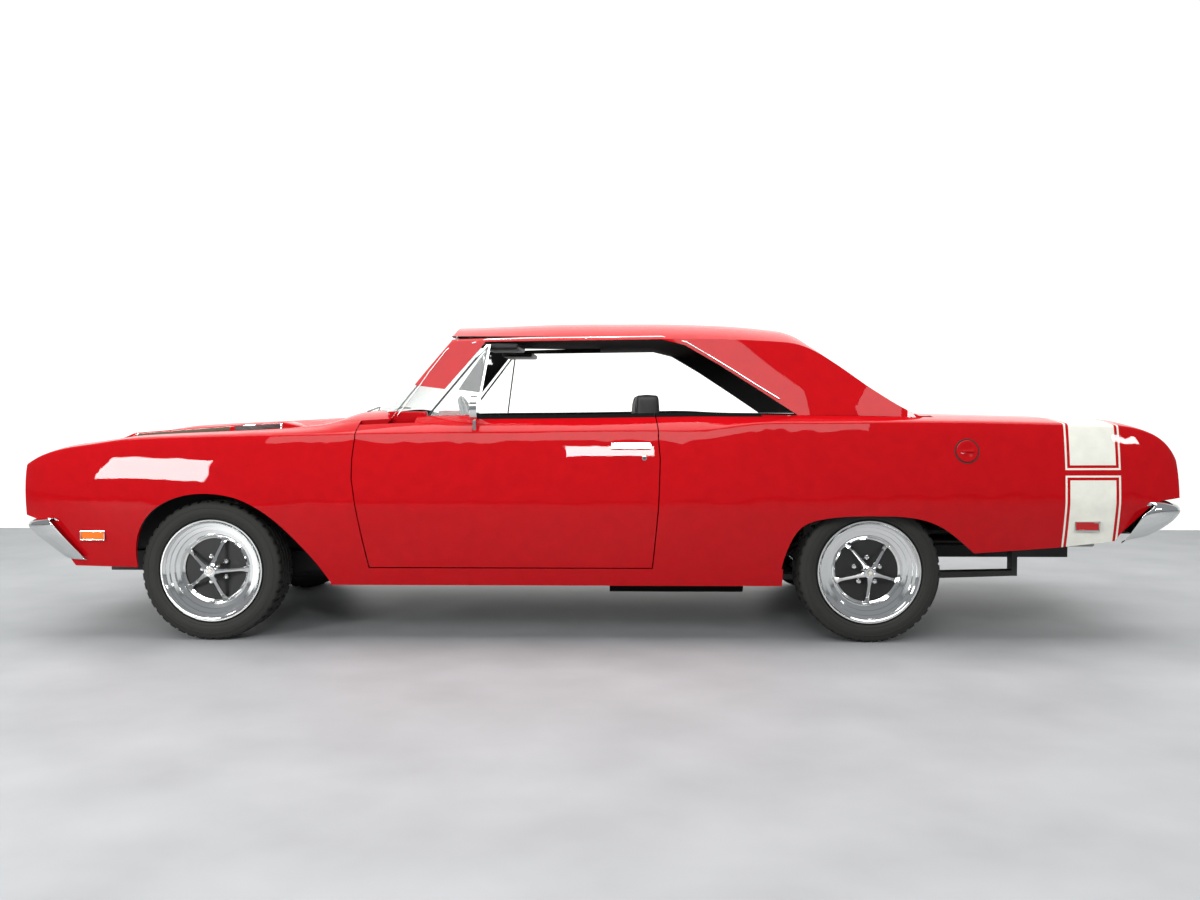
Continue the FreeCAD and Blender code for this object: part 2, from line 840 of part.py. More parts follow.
sail_limit = block((-half_length, -far, value("belt_height") - 2 * margin), (half_length, far, top_limit))
roof_shell = greenhouse.cut(cabin_void)
roof_shell = roof_shell.cut(side_window)
roof_shell = roof_shell.cut(front_opening(0.0))
roof_shell = roof_shell.cut(backlight_cutter(0.0, 0.0))
roof_shell = roof_shell.cut(outer_body)
roof_shell = roof_shell.common(sail_limit)
shaped("roof", solid_only(roof_shell))

glass = value("glass_thickness")
windshield_band = windshield_wedge(2 * glass).cut(windshield_wedge(3 * glass))
windshield_glass = windshield_band.common(greenhouse).common(front_opening(0.0))
shaped("windshield", solid_only(windshield_glass.cut(outer_body)))
backlight_band = backlight_cutter(glass, 0.0).cut(backlight_cutter(0.0, 0.0))
backlight_band = backlight_band.common(
    block((-half_length, -value("backlight_half_base"), 0), (half_length, value("backlight_half_base"), top_limit))
)
rear_glass = backlight_band.common(greenhouse_inner).cut(outer_body)
shaped("rear_window", solid_only(rear_glass))
grouped("cabin_glass", "windshield", "rear_window")

# Front fenders and rear quarters.
for side, name in ((LEFT, "left"), (RIGHT, "right")):
    door_hole = door_cutter(side, gap)
    fender = keep_side(body_skin, side, hood_half + gap / 2 - 2 * margin)
    fender = fender.common(side_prism(fender_outline, -far, far))
    fender = fender.cut(front_arch).cut(hood_slot).cut(cowl_box).cut(sill_slot).cut(door_hole)
    fender = fender.common(block((-half_length, -far, 0), (value("door_front") + door_length / 4, far, top_limit)))
    shaped("front_fender_" + name, solid_only(fender))
    wall = outer_body.cut(cabin_slot).common(
        block((value("door_rear") - skin * 4, -far, 0), (float(rear_axle) - value("tyre_radius") * 1.5, far, top_limit))
    )
    quarter = body_skin.fuse(wall)
    quarter = keep_side(quarter, side, trunk_half - 2 * margin)
    quarter = quarter.common(side_prism(quarter_outline, -far, far))
    quarter = quarter.cut(rear_arch).cut(trunk_slot).cut(cabin_slot).cut(sill_slot).cut(door_hole)
    quarter = quarter.common(block((value("door_rear") - skin * 4, -far, 0), (half_length, far, top_limit)))
    shaped("quarter_panel_" + name, solid_only(quarter))

# Doors.
door_wall = block(
    (value("door_front") - margin, -value("cabin_half_width"), -margin),
    (value("door_rear") + margin, value("cabin_half_width"), top_limit),
)
door_pillar_room = block(
    (value("door_front") - margin, -0.865 * half_width, -margin),
    (-0.312 * half_length, 0.865 * half_width, top_limit),
)
for side, name in ((LEFT, "left"), (RIGHT, "right")):
    door = outer_body.common(door_cutter(side, 0.0))
    door = door.cut(door_wall).cut(door_pillar_room)
    shaped("door_" + name, solid_only(door))

# Sills between the arches.
sill_front = float(front_axle) + 1.90 * value("tyre_radius")
sill_rear = float(rear_axle) - 1.42 * value("tyre_radius")
sill_box = block((sill_front, -far, 0), (sill_rear, far, value("sill_top") - gap))
sills = outer_body.common(sill_box)
sill_inner = half_width * 0.895 - value("sill_depth")
sills = sills.cut(block((sill_front - margin, -sill_inner, -margin), (sill_rear + margin, sill_inner, top_limit)))
for side in (LEFT, RIGHT):
    seal_y = (half_width * 0.895 + sill_inner) / 2
    sills = sills.fuse(sorted_box(
        (value("door_front") + door_length * 0.1, side * (seal_y - value("seal_width")), value("sill_top") - gap * 2),
        (value("door_rear") - door_length * 0.1, side * seal_y, value("sill_top") - value("seat_gap")),
    ))
shaped("sills", sills)

# Hood, cowl panel and trunk lid.
hood_box = block(
    (value("hood_front"), -hood_half + gap / 2, height / 2),
    (value("hood_rear"), hood_half - gap / 2, top_limit),
)
hood_shell = solid_only(body_skin.common(hood_box))
cowl_panel = body_skin.common(block(
    (value("hood_rear") + gap, -hood_half - gap / 2, height / 2),
    (value("cowl_rear") + margin, hood_half + gap / 2, top_limit),
))
cowl_panel = cowl_panel.cut(windshield_wedge(2 * glass))
shaped("cowl_panel", solid_only(cowl_panel))
trunk_box = block(
    (value("trunk_front"), -trunk_half, value("tail_lamp_centre") + value("tail_lamp_height")),
    (value("trunk_rear"), trunk_half, top_limit),
)
shaped("trunk_lid", solid_only(body_skin.common(trunk_box)))
deck_box = block(
    (value("backlight_base") - margin, -trunk_half, height / 2),
    (value("trunk_front") - gap, trunk_half, top_limit),
)
rear_deck = body_skin.common(deck_box).cut(side_prism([
    (value("backlight_base") - 3 * margin, 0), (value("backlight_base"), 0),
    (value("backlight_base"), top_limit), (value("backlight_base") - 3 * margin, top_limit)], -far, far))
shaped("rear_deck", solid_only(rear_deck))

# Nose and tail panels stand inside the skin and hold the lamps.
nose_box = block(
    (value("nose_front") + skin / 2, -far, nose_line()[0][1]),
    (value("nose_front") + skin / 2 + value("nose_depth"), far, top_limit),
)
nose_header = outer_body.common(block(
    (-half_length, -hood_half, height / 2), (value("hood_front") - gap, hood_half, top_limit)
))
nose_panel = lining_body.common(nose_box).fuse(nose_header)
grille_box = block(
    (value("nose_front") - margin, -value("lamp_half_spacing") + value("lamp_radius") * 1.35,
     value("lamp_height") - value("lamp_radius")),
    (value("nose_front") + 2 * margin, value("lamp_half_spacing") - value("lamp_radius") * 1.35,
     value("lamp_height") + value("lamp_radius")),
)
nose_panel = nose_panel.cut(grille_box)
for side in (LEFT, RIGHT):
    bore = Part.makeCylinder(
        value("lamp_radius"), 3 * margin,
        Vector(value("nose_front") - margin, side * value("lamp_half_spacing"), value("lamp_height")),
        Vector(1, 0, 0),
    )
    nose_panel = nose_panel.cut(bore)
shaped("nose_panel", solid_only(nose_panel))

tail_box = block(
    (value("tail_rear") - skin / 2 - value("tail_depth"), -far, tail_line()[-1][1]),
    (value("tail_rear") - skin / 2, far, top_limit),
)
tail_header = outer_body.common(block(
    (value("trunk_rear") + gap, -trunk_half - gap, tail_line()[-1][1]), (half_length, trunk_half + gap, top_limit)
))
tail_panel = lining_body.common(tail_box).fuse(tail_header)
lamp_low = value("tail_lamp_centre") - value("tail_lamp_height") / 2
for side in (LEFT, RIGHT):
    near = side * value("tail_lamp_inner")
    reach = side * (value("tail_lamp_inner") + value("tail_lamp_width"))
    tail_panel = tail_panel.cut(block(
        (value("tail_rear") - skin - value("tail_depth") / 4, min(near, reach), lamp_low),
        (half_length + margin, max(near, reach), lamp_low + value("tail_lamp_height")),
    ))
shaped("tail_panel", solid_only(tail_panel))


# Lamps.
def lamp_solid(side):
    radius = value("lamp_radius") - value("seat_gap")
    depth = value("lamp_depth")
    x = value("nose_front") + skin / 2 + value("nose_depth") / 3
    centre = Vector(x, side * value("lamp_half_spacing"), value("lamp_height"))
    bowl = Part.makeCylinder(radius, depth, centre, Vector(1, 0, 0))
    ball_radius = radius * 1.6
    offset = math.sqrt(ball_radius ** 2 - radius ** 2)
    lens = Part.makeSphere(ball_radius, centre + Vector(offset, 0, 0))
    lens = lens.common(Part.makeCylinder(radius, margin, centre - Vector(margin, 0, 0), Vector(1, 0, 0)))
    return bowl.fuse(lens).removeSplitter()


shaped("headlamps", Part.makeCompound([solid_only(lamp_solid(side)) for side in (LEFT, RIGHT)]))

rear_lamps = []
for side in (LEFT, RIGHT):
    inset = value("seat_gap")
    near = side * (value("tail_lamp_inner") + inset)
    reach = side * (value("tail_lamp_inner") + value("tail_lamp_width") - inset)
    rear_lamps.append(block(
        (value("tail_rear") - skin - value("tail_depth") / 4 + inset, min(near, reach), lamp_low + inset),
        (value("tail_rear") - inset, max(near, reach), lamp_low + value("tail_lamp_height") - inset),
    ))
shaped("tail_lamps", Part.makeCompound(rear_lamps))


def marker_lamps(label, x, z):
    """Side marker lamps that sit on the skin."""
    lamps = []
    for side in (LEFT, RIGHT):
        box = block(
            (x - value("marker_width") / 2, min(side * far, 0), z - value("marker_height") / 2),
            (x + value("marker_width") / 2, max(side * far, 0), z + value("marker_height") / 2),
        )
        proud = outer_body.copy()
        proud.translate(Vector(0, side * value("marker_depth"), 0))
        lamps.append(solid_only(proud.common(box).cut(outer_body)))
    shaped(label, Part.makeCompound(lamps))


marker_lamps("front_markers", -0.862 * half_length, 0.334 * height)
marker_lamps("rear_markers", 0.832 * half_length, 0.369 * height)
grouped("side_markers", "front_markers", "rear_markers")


# Grille with horizontal bars between two end posts.
def grille():
    body = new_body("grille")
    half = size("lamp_half_spacing") - size("lamp_radius") * 1.35 - size("seat_gap")
    low = size("lamp_height") - size("lamp_radius") + size("seat_gap")
    high = size("lamp_height") + size("lamp_radius") - size("seat_gap")
    start = size("nose_front") + size("panel_skin") / 2 + size("nose_depth") / 2
    sketch = new_sketch(body, "YZ_Plane", start)
    draw_box(sketch, (-half, low), (half, high))
    rim = size("panel_skin") / 2
    draw_box(sketch, (-half + rim, low + rim), (half - rim, high - rim))
    pad(body, sketch, size("nose_depth") / 2)
    count = 6
    pitch = (high - low - rim * 2) / count
    for index in range(1, count):
        bar = new_sketch(body, "YZ_Plane", start + size("nose_depth") / 8)
        middle = low + rim + pitch * index
        draw_box(bar, (-half + rim / 2, middle - pitch / 6), (half - rim / 2, middle + pitch / 6))
        pad(body, bar, size("nose_depth") / 4)
    post = new_sketch(body, "YZ_Plane", start + size("nose_depth") / 8)
    draw_box(post, (-rim / 2, low + rim / 2), (rim / 2, high - rim / 2))
    pad(body, post, size("nose_depth") / 4)


grille()


# Bumpers follow the plan curve of the body ends.
BUMPER_PLAN_SHARES = ((1.0, 1.0), (0.55, 0.990), (0.28, 0.955), (0.14, 0.860), (0.04, 0.50))


def bumper_curve(tip, end_x, end_y, level):
    """The plan curve of a bumper face, from one end to the other."""
    points = []
    for depth, across in BUMPER_PLAN_SHARES:
        points.append(Vector(tip + (end_x - tip) * depth, -end_y * across, level))
    points.append(Vector(tip, 0, level))
    points += [mirrored(point) for point in reversed(points[:-1])]
    return spline(points)


def bumper(tip, end_x, low, high, face_shares, bracket_end, bracket_low, bracket_high):
    """A blade that follows the end of the body, with the given side profile."""
    direction = math.copysign(1.0, tip)
    wall = value("bumper_wall")
    end_y = half_width * 0.955
    level = low - margin
    front = bumper_curve(tip, end_x, end_y, level)
    back = bumper_curve(tip - direction * wall, end_x, end_y - wall, level)
    ends = []
    for first, second in ((0, 0), (-1, -1)):
        ends.append(Part.LineSegment(
            Vector(end_x, (end_y if first else -end_y), level),
            Vector(end_x, ((end_y - wall) if second else (wall - end_y)), level),
        ).toShape())
    face = Part.Face(Part.Wire(Part.__sortEdges__([front, ends[0], back, ends[1]])))
    solid = face.extrude(Vector(0, 0, high - low + 2 * margin))
    profile = [(tip + direction * wall * x, low + (high - low) * z) for x, z in face_shares]
    blade = solid.common(side_prism(profile, -far, far))
    for side in (LEFT, RIGHT):
        near = side * (value("rail_half_track") - value("bracket_width") / 2)
        reach = side * (value("rail_half_track") + value("bracket_width") / 2)
        arm = sorted_box(
            (bracket_end, near, bracket_low), (tip - direction * wall, reach, bracket_high)
        )
        blade = blade.fuse(arm)
    return blade


FRONT_BUMPER_SHARES = (
    (-4.3, 0.0), (-1.8, 0.06), (-0.4, 0.45), (0.0, 0.80), (-0.8, 1.0), (-2.3, 1.0), (-4.0, 0.69), (-6.5, 0.0),
)
REAR_BUMPER_SHARES = (
    (-7.5, 0.0), (-5.1, 0.04), (-3.0, 0.20), (-0.6, 0.6), (0.0, 0.78), (-1.0, 1.0), (-1.8, 1.0), (-4.3, 0.82),
)
shaped("front_bumper", solid_only(bumper(
    value("front_bumper_tip"), -0.905 * half_length,
    value("front_bumper_bottom"), value("front_bumper_top"), FRONT_BUMPER_SHARES,
    value("radiator_front") - value("rail_width") - value("seat_gap"),
    value("rail_bottom") + value("rail_height") / 2, value("front_bumper_bottom") + value("bracket_height") / 2)))
shaped("rear_bumper", solid_only(bumper(
    value("rear_bumper_tip"), 0.892 * half_length,
    value("rear_bumper_bottom"), value("rear_bumper_top"), REAR_BUMPER_SHARES,
    value("tail_rear") - value("tail_depth") * 1.4 + value("seat_gap"), value("trunk_floor_height"),
    value("rear_bumper_top") - value("bracket_height"))))
grouped("bumpers", "front_bumper", "rear_bumper")


# Hood scoops, one each side of the middle, that rise from the hood.
SCOOP_SHARES = ((-0.905, 0.600), (-0.865, 0.672), (-0.700, 0.702), (-0.640, 0.706), (-0.560, 0.660))
scoop_line = [(x * half_length, z * height) for x, z in SCOOP_SHARES]
for side in (LEFT, RIGHT):
    middle = side * value("scoop_centre")
    half = value("scoop_width") / 2
    hump = side_prism(scoop_line + [(scoop_line[-1][0], value("lamp_height"))], middle - half, middle + half)
    hood_shell = hood_shell.fuse(hump.cut(inner_body))
shaped("hood", solid_only(hood_shell))

# Door trim: vent window frame, handle and lock, and a mirror on the left door.
vent_outline = [(-0.303, 0.688), (-0.2085, 0.688), (-0.1865, 0.935), (-0.1935, 0.935)]
vent_outline = [(x * half_length, z * height) for x, z in vent_outline]
frame_wall = value("vent_frame_wall")
glass_band = roof_solid(frame_wall / 2).cut(roof_solid(frame_wall))
frame_band = roof_solid(frame_wall / 4).cut(roof_solid(frame_wall * 1.25))


def shrunk(points, wall):
    """A side outline moved in on every edge."""
    face = side_face(points, 0.0)
    return face.makeOffset2D(-wall)


def prism_of(face, inner, outer):
    moved = face.copy()
    moved.translate(Vector(0, inner, 0))
    return moved.extrude(Vector(0, outer - inner, 0))


door_top = 0.695 * height
for side, name in ((LEFT, "left"), (RIGHT, "right")):
    low_y, high_y = sorted((side * half_width / 2, side * far))
    frame_prism = prism_of(side_face(vent_outline, 0.0), low_y, high_y)
    hole_prism = prism_of(shrunk(vent_outline, frame_wall / 2), low_y, high_y)
    vent_frame = solid_only(frame_band.common(frame_prism).cut(hole_prism).cut(outer_body))
    vent_glass = solid_only(glass_band.common(hole_prism))
    shaped("vent_glass_" + name, vent_glass)
    proud = outer_body.copy()
    proud.translate(Vector(0, side * value("handle_depth"), 0))
    handle_x = value("door_rear") - value("handle_length") * 1.3
    handle_box = sorted_box(
        (handle_x, 0, value("handle_height")),
        (handle_x + value("handle_length"), side * far, value("handle_height") + value("handle_rise")),
    )
    handle = solid_only(proud.common(handle_box).cut(outer_body))
    trims = [vent_frame, handle]
    if side == LEFT:
        mirror_x = value("mirror_x")
        ball = Part.makeCylinder(
            value("mirror_radius"), value("mirror_depth"),
            Vector(mirror_x, side * value("mirror_centre_y"), value("mirror_centre_z")), Vector(1, 0, 0),
        )
        stalk = Part.makeCylinder(
            value("mirror_stalk_radius"), value("mirror_centre_z") - value("mirror_foot_z"),
            Vector(mirror_x + value("mirror_depth") / 2, side * value("mirror_centre_y"), value("mirror_foot_z")),
            Vector(0, 0, 1),
        )
        trims.append(solid_only(ball.fuse(stalk).cut(outer_body)))
    shaped("door_trim_" + name, Part.makeCompound(trims))


# Floor pan with its tunnel, toe board, kick up and trunk floor.
def floor_profile(body, sketch, rear):
    wall = size("floor_thickness")
    low = size("floor_height")
    toe = size("firewall_front") + size("firewall_thickness")
    kick = rear_axle - size("tyre_radius") * 1.70
    top = size("trunk_floor_height")
    outline = [
        (toe, low + size("toe_rise")), (toe + size("toe_rise") * 0.6, low), (kick, low),
        (kick + size("toe_rise") * 0.5, top), (size("tail_rear") - size("tail_depth") * 1.4, top),
    ]
    if not rear:
        outline = outline[:3]
    upper = [(x, z + wall) for x, z in reversed(outline)]
    draw_outline(sketch, outline + upper)


def floor_pan():
    body = new_body("floor_pan")
    narrow = new_sketch(body, "XZ_Plane")
    floor_profile(body, narrow, True)
    pad(body, narrow, size("trunk_floor_half") * 2, symmetric=True)
    wide = new_sketch(body, "XZ_Plane")
    floor_profile(body, wide, False)
    sill_face = size("body_width") / 2 * 0.895 - size("sill_depth")
    pad(body, wide, sill_face * 2, symmetric=True)
    start = size("firewall_front") + size("firewall_thickness")
    length = rear_axle - size("tyre_radius") * 1.70 + size("toe_rise") - start
    low = size("floor_height")
    foot = size("tunnel_half_base")
    crown = size("tunnel_half_top")
    top = low + size("tunnel_rise")
    wall = size("floor_thickness")
    tunnel = new_sketch(body, "YZ_Plane", start)
    draw_outline(tunnel, [(-foot, low), (-crown, top), (crown, top), (foot, low)])
    pad(body, tunnel, length)
    hollow = new_sketch(body, "YZ_Plane", start)
    deep = low - wall * 2
    draw_outline(hollow, [
        (-foot + wall, deep), (-foot + wall, low), (-crown + wall, top - wall),
        (crown - wall, top - wall), (foot - wall, low), (foot - wall, deep),
    ])
    pocket(body, hollow, length, backwards=True)


floor_pan()


# Engine bay: firewall, aprons over the rails and the radiator support.
def engine_bay():
    body = new_body("engine_bay")
    wall = size("firewall_thickness")
    firewall = new_sketch(body, "YZ_Plane", size("firewall_front"))
    half = size("body_width") / 2 * 0.895 - size("sill_depth")
    low = size("floor_height")
    draw_outline(firewall, [
        (-half, low), (half, low), (half, size("firewall_top")), (-half, size("firewall_top")),
    ])
    pad(body, firewall, wall)
    bell = new_sketch(body, "YZ_Plane", size("firewall_front"))
    foot = size("tunnel_half_base")
    crown = size("tunnel_half_top")
    deep = low - wall
    top = low + size("tunnel_rise")
    skin_wall = size("floor_thickness")
    draw_outline(bell, [
        (-foot + skin_wall, deep), (-foot + skin_wall, low), (-crown + skin_wall, top - skin_wall),
        (crown - skin_wall, top - skin_wall), (foot - skin_wall, low), (foot - skin_wall, deep),
    ])
    pocket(body, bell, wall * 2, symmetric=True)
    start = size("radiator_front")
    for side in (LEFT, RIGHT):
        apron = new_sketch(body, "YZ_Plane", start)
        near = (size("rail_half_track") - size("apron_wall") / 2) * side
        reach = (size("rail_half_track") + size("apron_wall") / 2) * side
        base = size("rail_bottom") + size("rail_height")
        draw_box(apron, (near, base), (reach, size("apron_top")))
        pad(body, apron, size("firewall_front") - start)
    support = new_sketch(body, "YZ_Plane", start)
    draw_box(support, (-size("radiator_support_half"), size("rail_bottom") + size("rail_height")),
             (size("radiator_support_half"), size("apron_top")))
    pad(body, support, wall, backwards=True)
    core = new_sketch(body, "YZ_Plane", start)
    inner = size("radiator_width") / 2
    base = size("rail_bottom") + size("rail_height") * 1.4
    draw_box(core, (-inner, base), (inner, base + size("radiator_height") * 0.8))
    pocket(body, core, wall * 3, symmetric=True)


engine_bay()


def radiator():
    body = new_body("radiator")
    core = new_sketch(body, "YZ_Plane", size("radiator_front"))
    inner = size("radiator_width") / 2 + size("apron_wall")
    base = size("rail_bottom") + size("rail_height") * 1.2
    draw_box(core, (-inner, base), (inner, base + size("radiator_height")))
    pad(body, core, size("radiator_depth"))


radiator()


# Engine as one block, with its gearbox and shaft behind it.
def engine_block():
    body = new_body("engine_block")
    sketch = new_sketch(body, "YZ_Plane", size("engine_front"))
    low = wheel_height - size("upright_height") / 2
    half = size("engine_width") / 2
    top = low + size("engine_height")
    sump = half * 0.4
    draw_outline(sketch, [
        (-sump, low), (sump, low), (sump, low + half * 0.4), (half, low + half), (half * 0.9, top - sump),
        (sump, top), (-sump, top), (-half * 0.9, top - sump), (-half, low + half), (-sump, low + half * 0.4),
    ])
    pad(body, sketch, size("engine_length"))


engine_block()


def driveline():
    body = new_body("driveline")
    sketch = new_sketch(body, "XZ_Plane")
    bell = size("gearbox_front_radius")
    case = size("gearbox_rear_radius")
    shaft = size("driveshaft_radius")
    length = size("gearbox_length")
    total = rear_axle - size("diff_radius") - size("engine_front") - size("engine_length") - size("seat_gap")
    draw_outline(sketch, [
        (bell * 0.02, ZERO), (bell * 0.02, bell), (length * 0.2, bell * 0.7), (length * 0.6, case * 1.2), (length, case),
        (length, shaft), (total, shaft), (total, ZERO),
    ])
    revolve(body, sketch, "H_Axis")
    drop = value("driveline_height") - value("tyre_radius")
    place(body, size("engine_front") + size("engine_length"), ZERO, size("driveline_height"),
          Vector(0, 1, 0), math.degrees(math.atan2(drop, float(total))))


driveline()
grouped("engine_and_gearbox", "engine_block", "driveline")


# Rear axle with its springs.
def rear_axle_assembly():
    body = new_body("rear_axle")
    sketch = new_sketch(body, "YZ_Plane")
    tube = size("axle_tube_radius")
    reach = size("hub_half_track") - size("drum_width") - size("seat_gap")
    diff = size("diff_radius")
    draw_outline(sketch, [
        (-reach, ZERO), (-reach, tube * 1.4), (-reach + tube / 2, tube * 1.4), (-reach + tube / 2, tube),
        (-diff, tube), (-diff * 0.7, diff * 0.9), (-diff * 0.3, diff), (diff * 0.3, diff),
        (diff * 0.7, diff * 0.9), (diff, tube), (reach - tube / 2, tube), (reach - tube / 2, tube * 1.4),
        (reach, tube * 1.4), (reach, ZERO),
    ])
    revolve(body, sketch, "H_Axis")
    place(body, rear_axle, ZERO, wheel_height)


rear_axle_assembly()


def leaf_springs():
    body = new_body("leaf_springs")
    wall = size("spring_thickness")
    top = wheel_height - size("axle_tube_radius")
    front = size("spring_front")
    rear = size("spring_rear")
    floor_low = size("floor_height")
    trunk_low = size("trunk_floor_height")
    for side in (LEFT, RIGHT):
        sketch = new_sketch(body, "XZ_Plane", size("spring_half_track") * -side)
        draw_outline(sketch, [
            (front, floor_low), (front, floor_low - wall), (rear_axle - wall * 4, top - wall * 1.2),
            (rear_axle + wall * 4, top - wall * 1.2), (rear, top - wall * 0.4), (rear + wall, top - wall * 0.4),
            (rear + wall, trunk_low), (rear, trunk_low), (rear, top + wall * 0.6), (rear_axle + wall * 2, top),
            (rear_axle - wall * 2, top), (front + wall * 2, floor_low - wall * 0.2), (front + wall, floor_low),
        ])
        pad(body, sketch, size("spring_width"), symmetric=True)


leaf_springs()
grouped("rear_suspension", "rear_axle", "leaf_springs")


# Front rails, crossmember and suspension arms.
def front_frame():
    body = new_body("front_frame")
    low = size("rail_bottom")
    start = size("radiator_front") - size("rail_width")
    rear = size("firewall_front") + size("firewall_thickness") + size("toe_rise")
    for side in (LEFT, RIGHT):
        rail = new_sketch(body, "YZ_Plane", start)
        near = (size("rail_half_track") - size("rail_width") / 2) * side
        reach = (size("rail_half_track") + size("rail_width") / 2) * side
        draw_box(rail, (near, low), (reach, low + size("rail_height")))
        pad(body, rail, size("firewall_front") - start)
    cross = new_sketch(body, "YZ_Plane", front_axle)
    half = size("rail_half_track") + size("rail_width") / 2
    base = wheel_height - size("upright_height") / 2 - size("seat_gap")
    arm = size("arm_thickness")
    tip = size("kingpin_half_track") + size("upright_radius")
    draw_outline(cross, [
        (-tip, base), (-tip, base - arm), (tip, base - arm), (tip, base), (half, base), (half, low),
        (half - size("rail_width"), low), (half - size("rail_width"), base), (-half + size("rail_width"), base),
        (-half + size("rail_width"), low), (-half, low), (-half, base),
    ])
    pad(body, cross, arm * 1.6, symmetric=True)
    peak = wheel_height + size("upright_height") / 2 + size("seat_gap")
    for side in (LEFT, RIGHT):
        upper = new_sketch(body, "YZ_Plane", front_axle)
        near = (size("rail_half_track") + size("apron_wall") / 2) * side
        draw_outline(upper, [
            (near, low + size("rail_height")), (near, peak + arm), (tip * side, peak + arm),
            (tip * side, peak), (half * side, peak), (half * side, low + size("rail_height")),
        ])
        pad(body, upper, arm * 1.6, symmetric=True)


front_frame()


def knuckle(name, side):
    """A steering upright with its stub axle."""
    body = new_body("knuckle_" + name)
    sketch = new_sketch(body, "XY_Plane")
    draw_circle(sketch, (ZERO, ZERO), size("upright_radius"))
    pad(body, sketch, size("upright_height"), symmetric=True)
    stub = new_sketch(body, "XZ_Plane")
    draw_circle(stub, (ZERO, ZERO), size("spindle_radius"))
    reach = size("hub_half_track") - size("drum_width") - size("seat_gap") - size("kingpin_half_track")
    pad(body, stub, reach)
    plate = new_sketch(body, "XZ_Plane", reach)
    draw_circle(plate, (ZERO, ZERO), size("drum_radius") * 0.8)
    pad(body, plate, size("seat_gap") * 20, backwards=True)
    place(body, front_axle, size("kingpin_half_track") * side, wheel_height,
          Vector(0, 0, 1), 0.0 if side == LEFT else 180.0)


knuckle("left", LEFT)
knuckle("right", RIGHT)


# Wheels and tyres. Each is drawn for the left side, with its outer face towards -Y.
TYRE_PROFILE_SHARES = (
    (-0.79, 0.00), (-0.79, 0.17), (-0.96, 0.24), (-1.00, 0.50), (-0.95, 0.82), (-0.84, 1.00),
    (0.84, 1.00), (0.95, 0.82), (1.00, 0.50), (0.96, 0.24), (0.79, 0.17), (0.79, 0.00),
)


def tyre(name, x, width, angle, side):
    """A tyre with flat facets round its axle, the first corner at the road."""
    count = int(value("tyre_sides"))
    step = 360.0 / count
    bead = value("rim_radius") / math.cos(math.pi / count) + value("seat_gap")
    rise = value("tyre_radius") - bead
    corners = [Vector(0, y * float(width) / 2, -bead - z * rise) for y, z in TYRE_PROFILE_SHARES]
    turn = FreeCAD.Rotation(Vector(0, 1, 0), step)
    faces = []
    for index in range(len(corners)):
        low = corners[index]
        high = corners[(index + 1) % len(corners)]
        faces.append(Part.Face(Part.makePolygon([low, high, turn.multVec(high), turn.multVec(low), low])))
    shell = []
    for index in range(count):
        for face in faces:
            copy = face.copy()
            copy.rotate(Vector(0, 0, 0), Vector(0, 1, 0), step * index)
            shell.append(copy)
    solid = Part.makeSolid(Part.makeShell(shell))
    if solid.Volume < 0:
        solid.reverse()
    middle = (value("wheel_outer_plane") - float(width) / 2) * side
    solid.rotate(Vector(0, 0, 0), Vector(0, 0, 1), angle)
    solid.translate(Vector(float(x), middle, float(wheel_height)))
    shaped("tyre_" + name, solid)


def rim(name, x, width, angle, side):
    body = new_body("wheel_" + name)
    radius = size("rim_radius")
    lip = size("rim_lip_radius")
    wall = size("rim_wall")
    half = width / 2 * 0.84
    hub_y = -(size("hub_half_track") - size("wheel_outer_plane") + width / 2)
    sketch = new_sketch(body, "YZ_Plane")
    well = radius * 0.90
    draw_outline(sketch, [
        (-half, radius), (-half - wall, lip), (-half - wall * 2, lip), (-half - wall, radius - wall),
        (-half * 0.62, radius - wall * 2), (-half * 0.48, well - wall * 2), (half * 0.4, well - wall),
        (half * 0.7, radius - wall), (half + wall, radius - wall), (half + wall * 2, lip), (half + wall, lip),
        (half, radius),
    ])
    revolve(body, sketch, "H_Axis")
    hub = new_sketch(body, "YZ_Plane")
    face = hub_y - size("hub_thickness")
    drum = hub_y + size("drum_width")
    draw_outline(hub, [
        (face - size("cap_length"), ZERO), (face - size("cap_length"), size("cap_radius") * 0.8),
        (face - size("cap_length") * 0.8, size("cap_radius")), (face, size("cap_radius")),
        (face, size("hub_radius")), (hub_y, size("hub_radius")), (hub_y, size("drum_radius")),
        (drum, size("drum_radius")), (drum, ZERO),
    ])
    revolve(body, hub, "H_Axis")
    spoke = new_sketch(body, "XZ_Plane", -face)
    inner = size("hub_radius") * 0.8
    outer_r = well - wall * 0.9
    slim = size("spoke_width") / 2
    draw_outline(spoke, [
        (-slim, inner), (-slim * 1.35, outer_r), (slim * 1.35, outer_r), (slim, inner),
    ])
    arm = pad(body, spoke, size("spoke_thickness"), backwards=True)
    polar(body, arm, spoke, size("spoke_count"), "N_Axis")
    lug = new_sketch(body, "XZ_Plane", -face)
    draw_circle(lug, (ZERO, size("lug_circle_radius")), size("lug_radius"))
    nut = pad(body, lug, size("lug_length"))
    polar(body, nut, lug, size("spoke_count"), "N_Axis")
    place(body, x, (size("wheel_outer_plane") - width / 2) * side, wheel_height, Vector(0, 0, 1), angle)


for end, axle, width in (("front", front_axle, size("front_tyre_width")), ("rear", rear_axle, size("rear_tyre_width"))):
    for side, name, angle in ((LEFT, "left", 0.0), (RIGHT, "right", 180.0)):
        tyre(end + "_" + name, axle, width, angle, side)
        rim(end + "_" + name, axle, width, angle, side)


# Seats.
def seat_profile(front, depth, low, cushion, back_height, back):
    """Side outline of a seat with an upright back."""
    top = low + cushion
    return [
        (front, low), (front, top), (front + depth - back, top * 0.985),
        (front + depth - back * 0.4, low + back_height * 0.96), (front + depth + back * 0.1, low + back_height),
        (front + depth + back * 0.5, low + back_height * 0.94), (front + depth + back * 0.2, low),
    ]


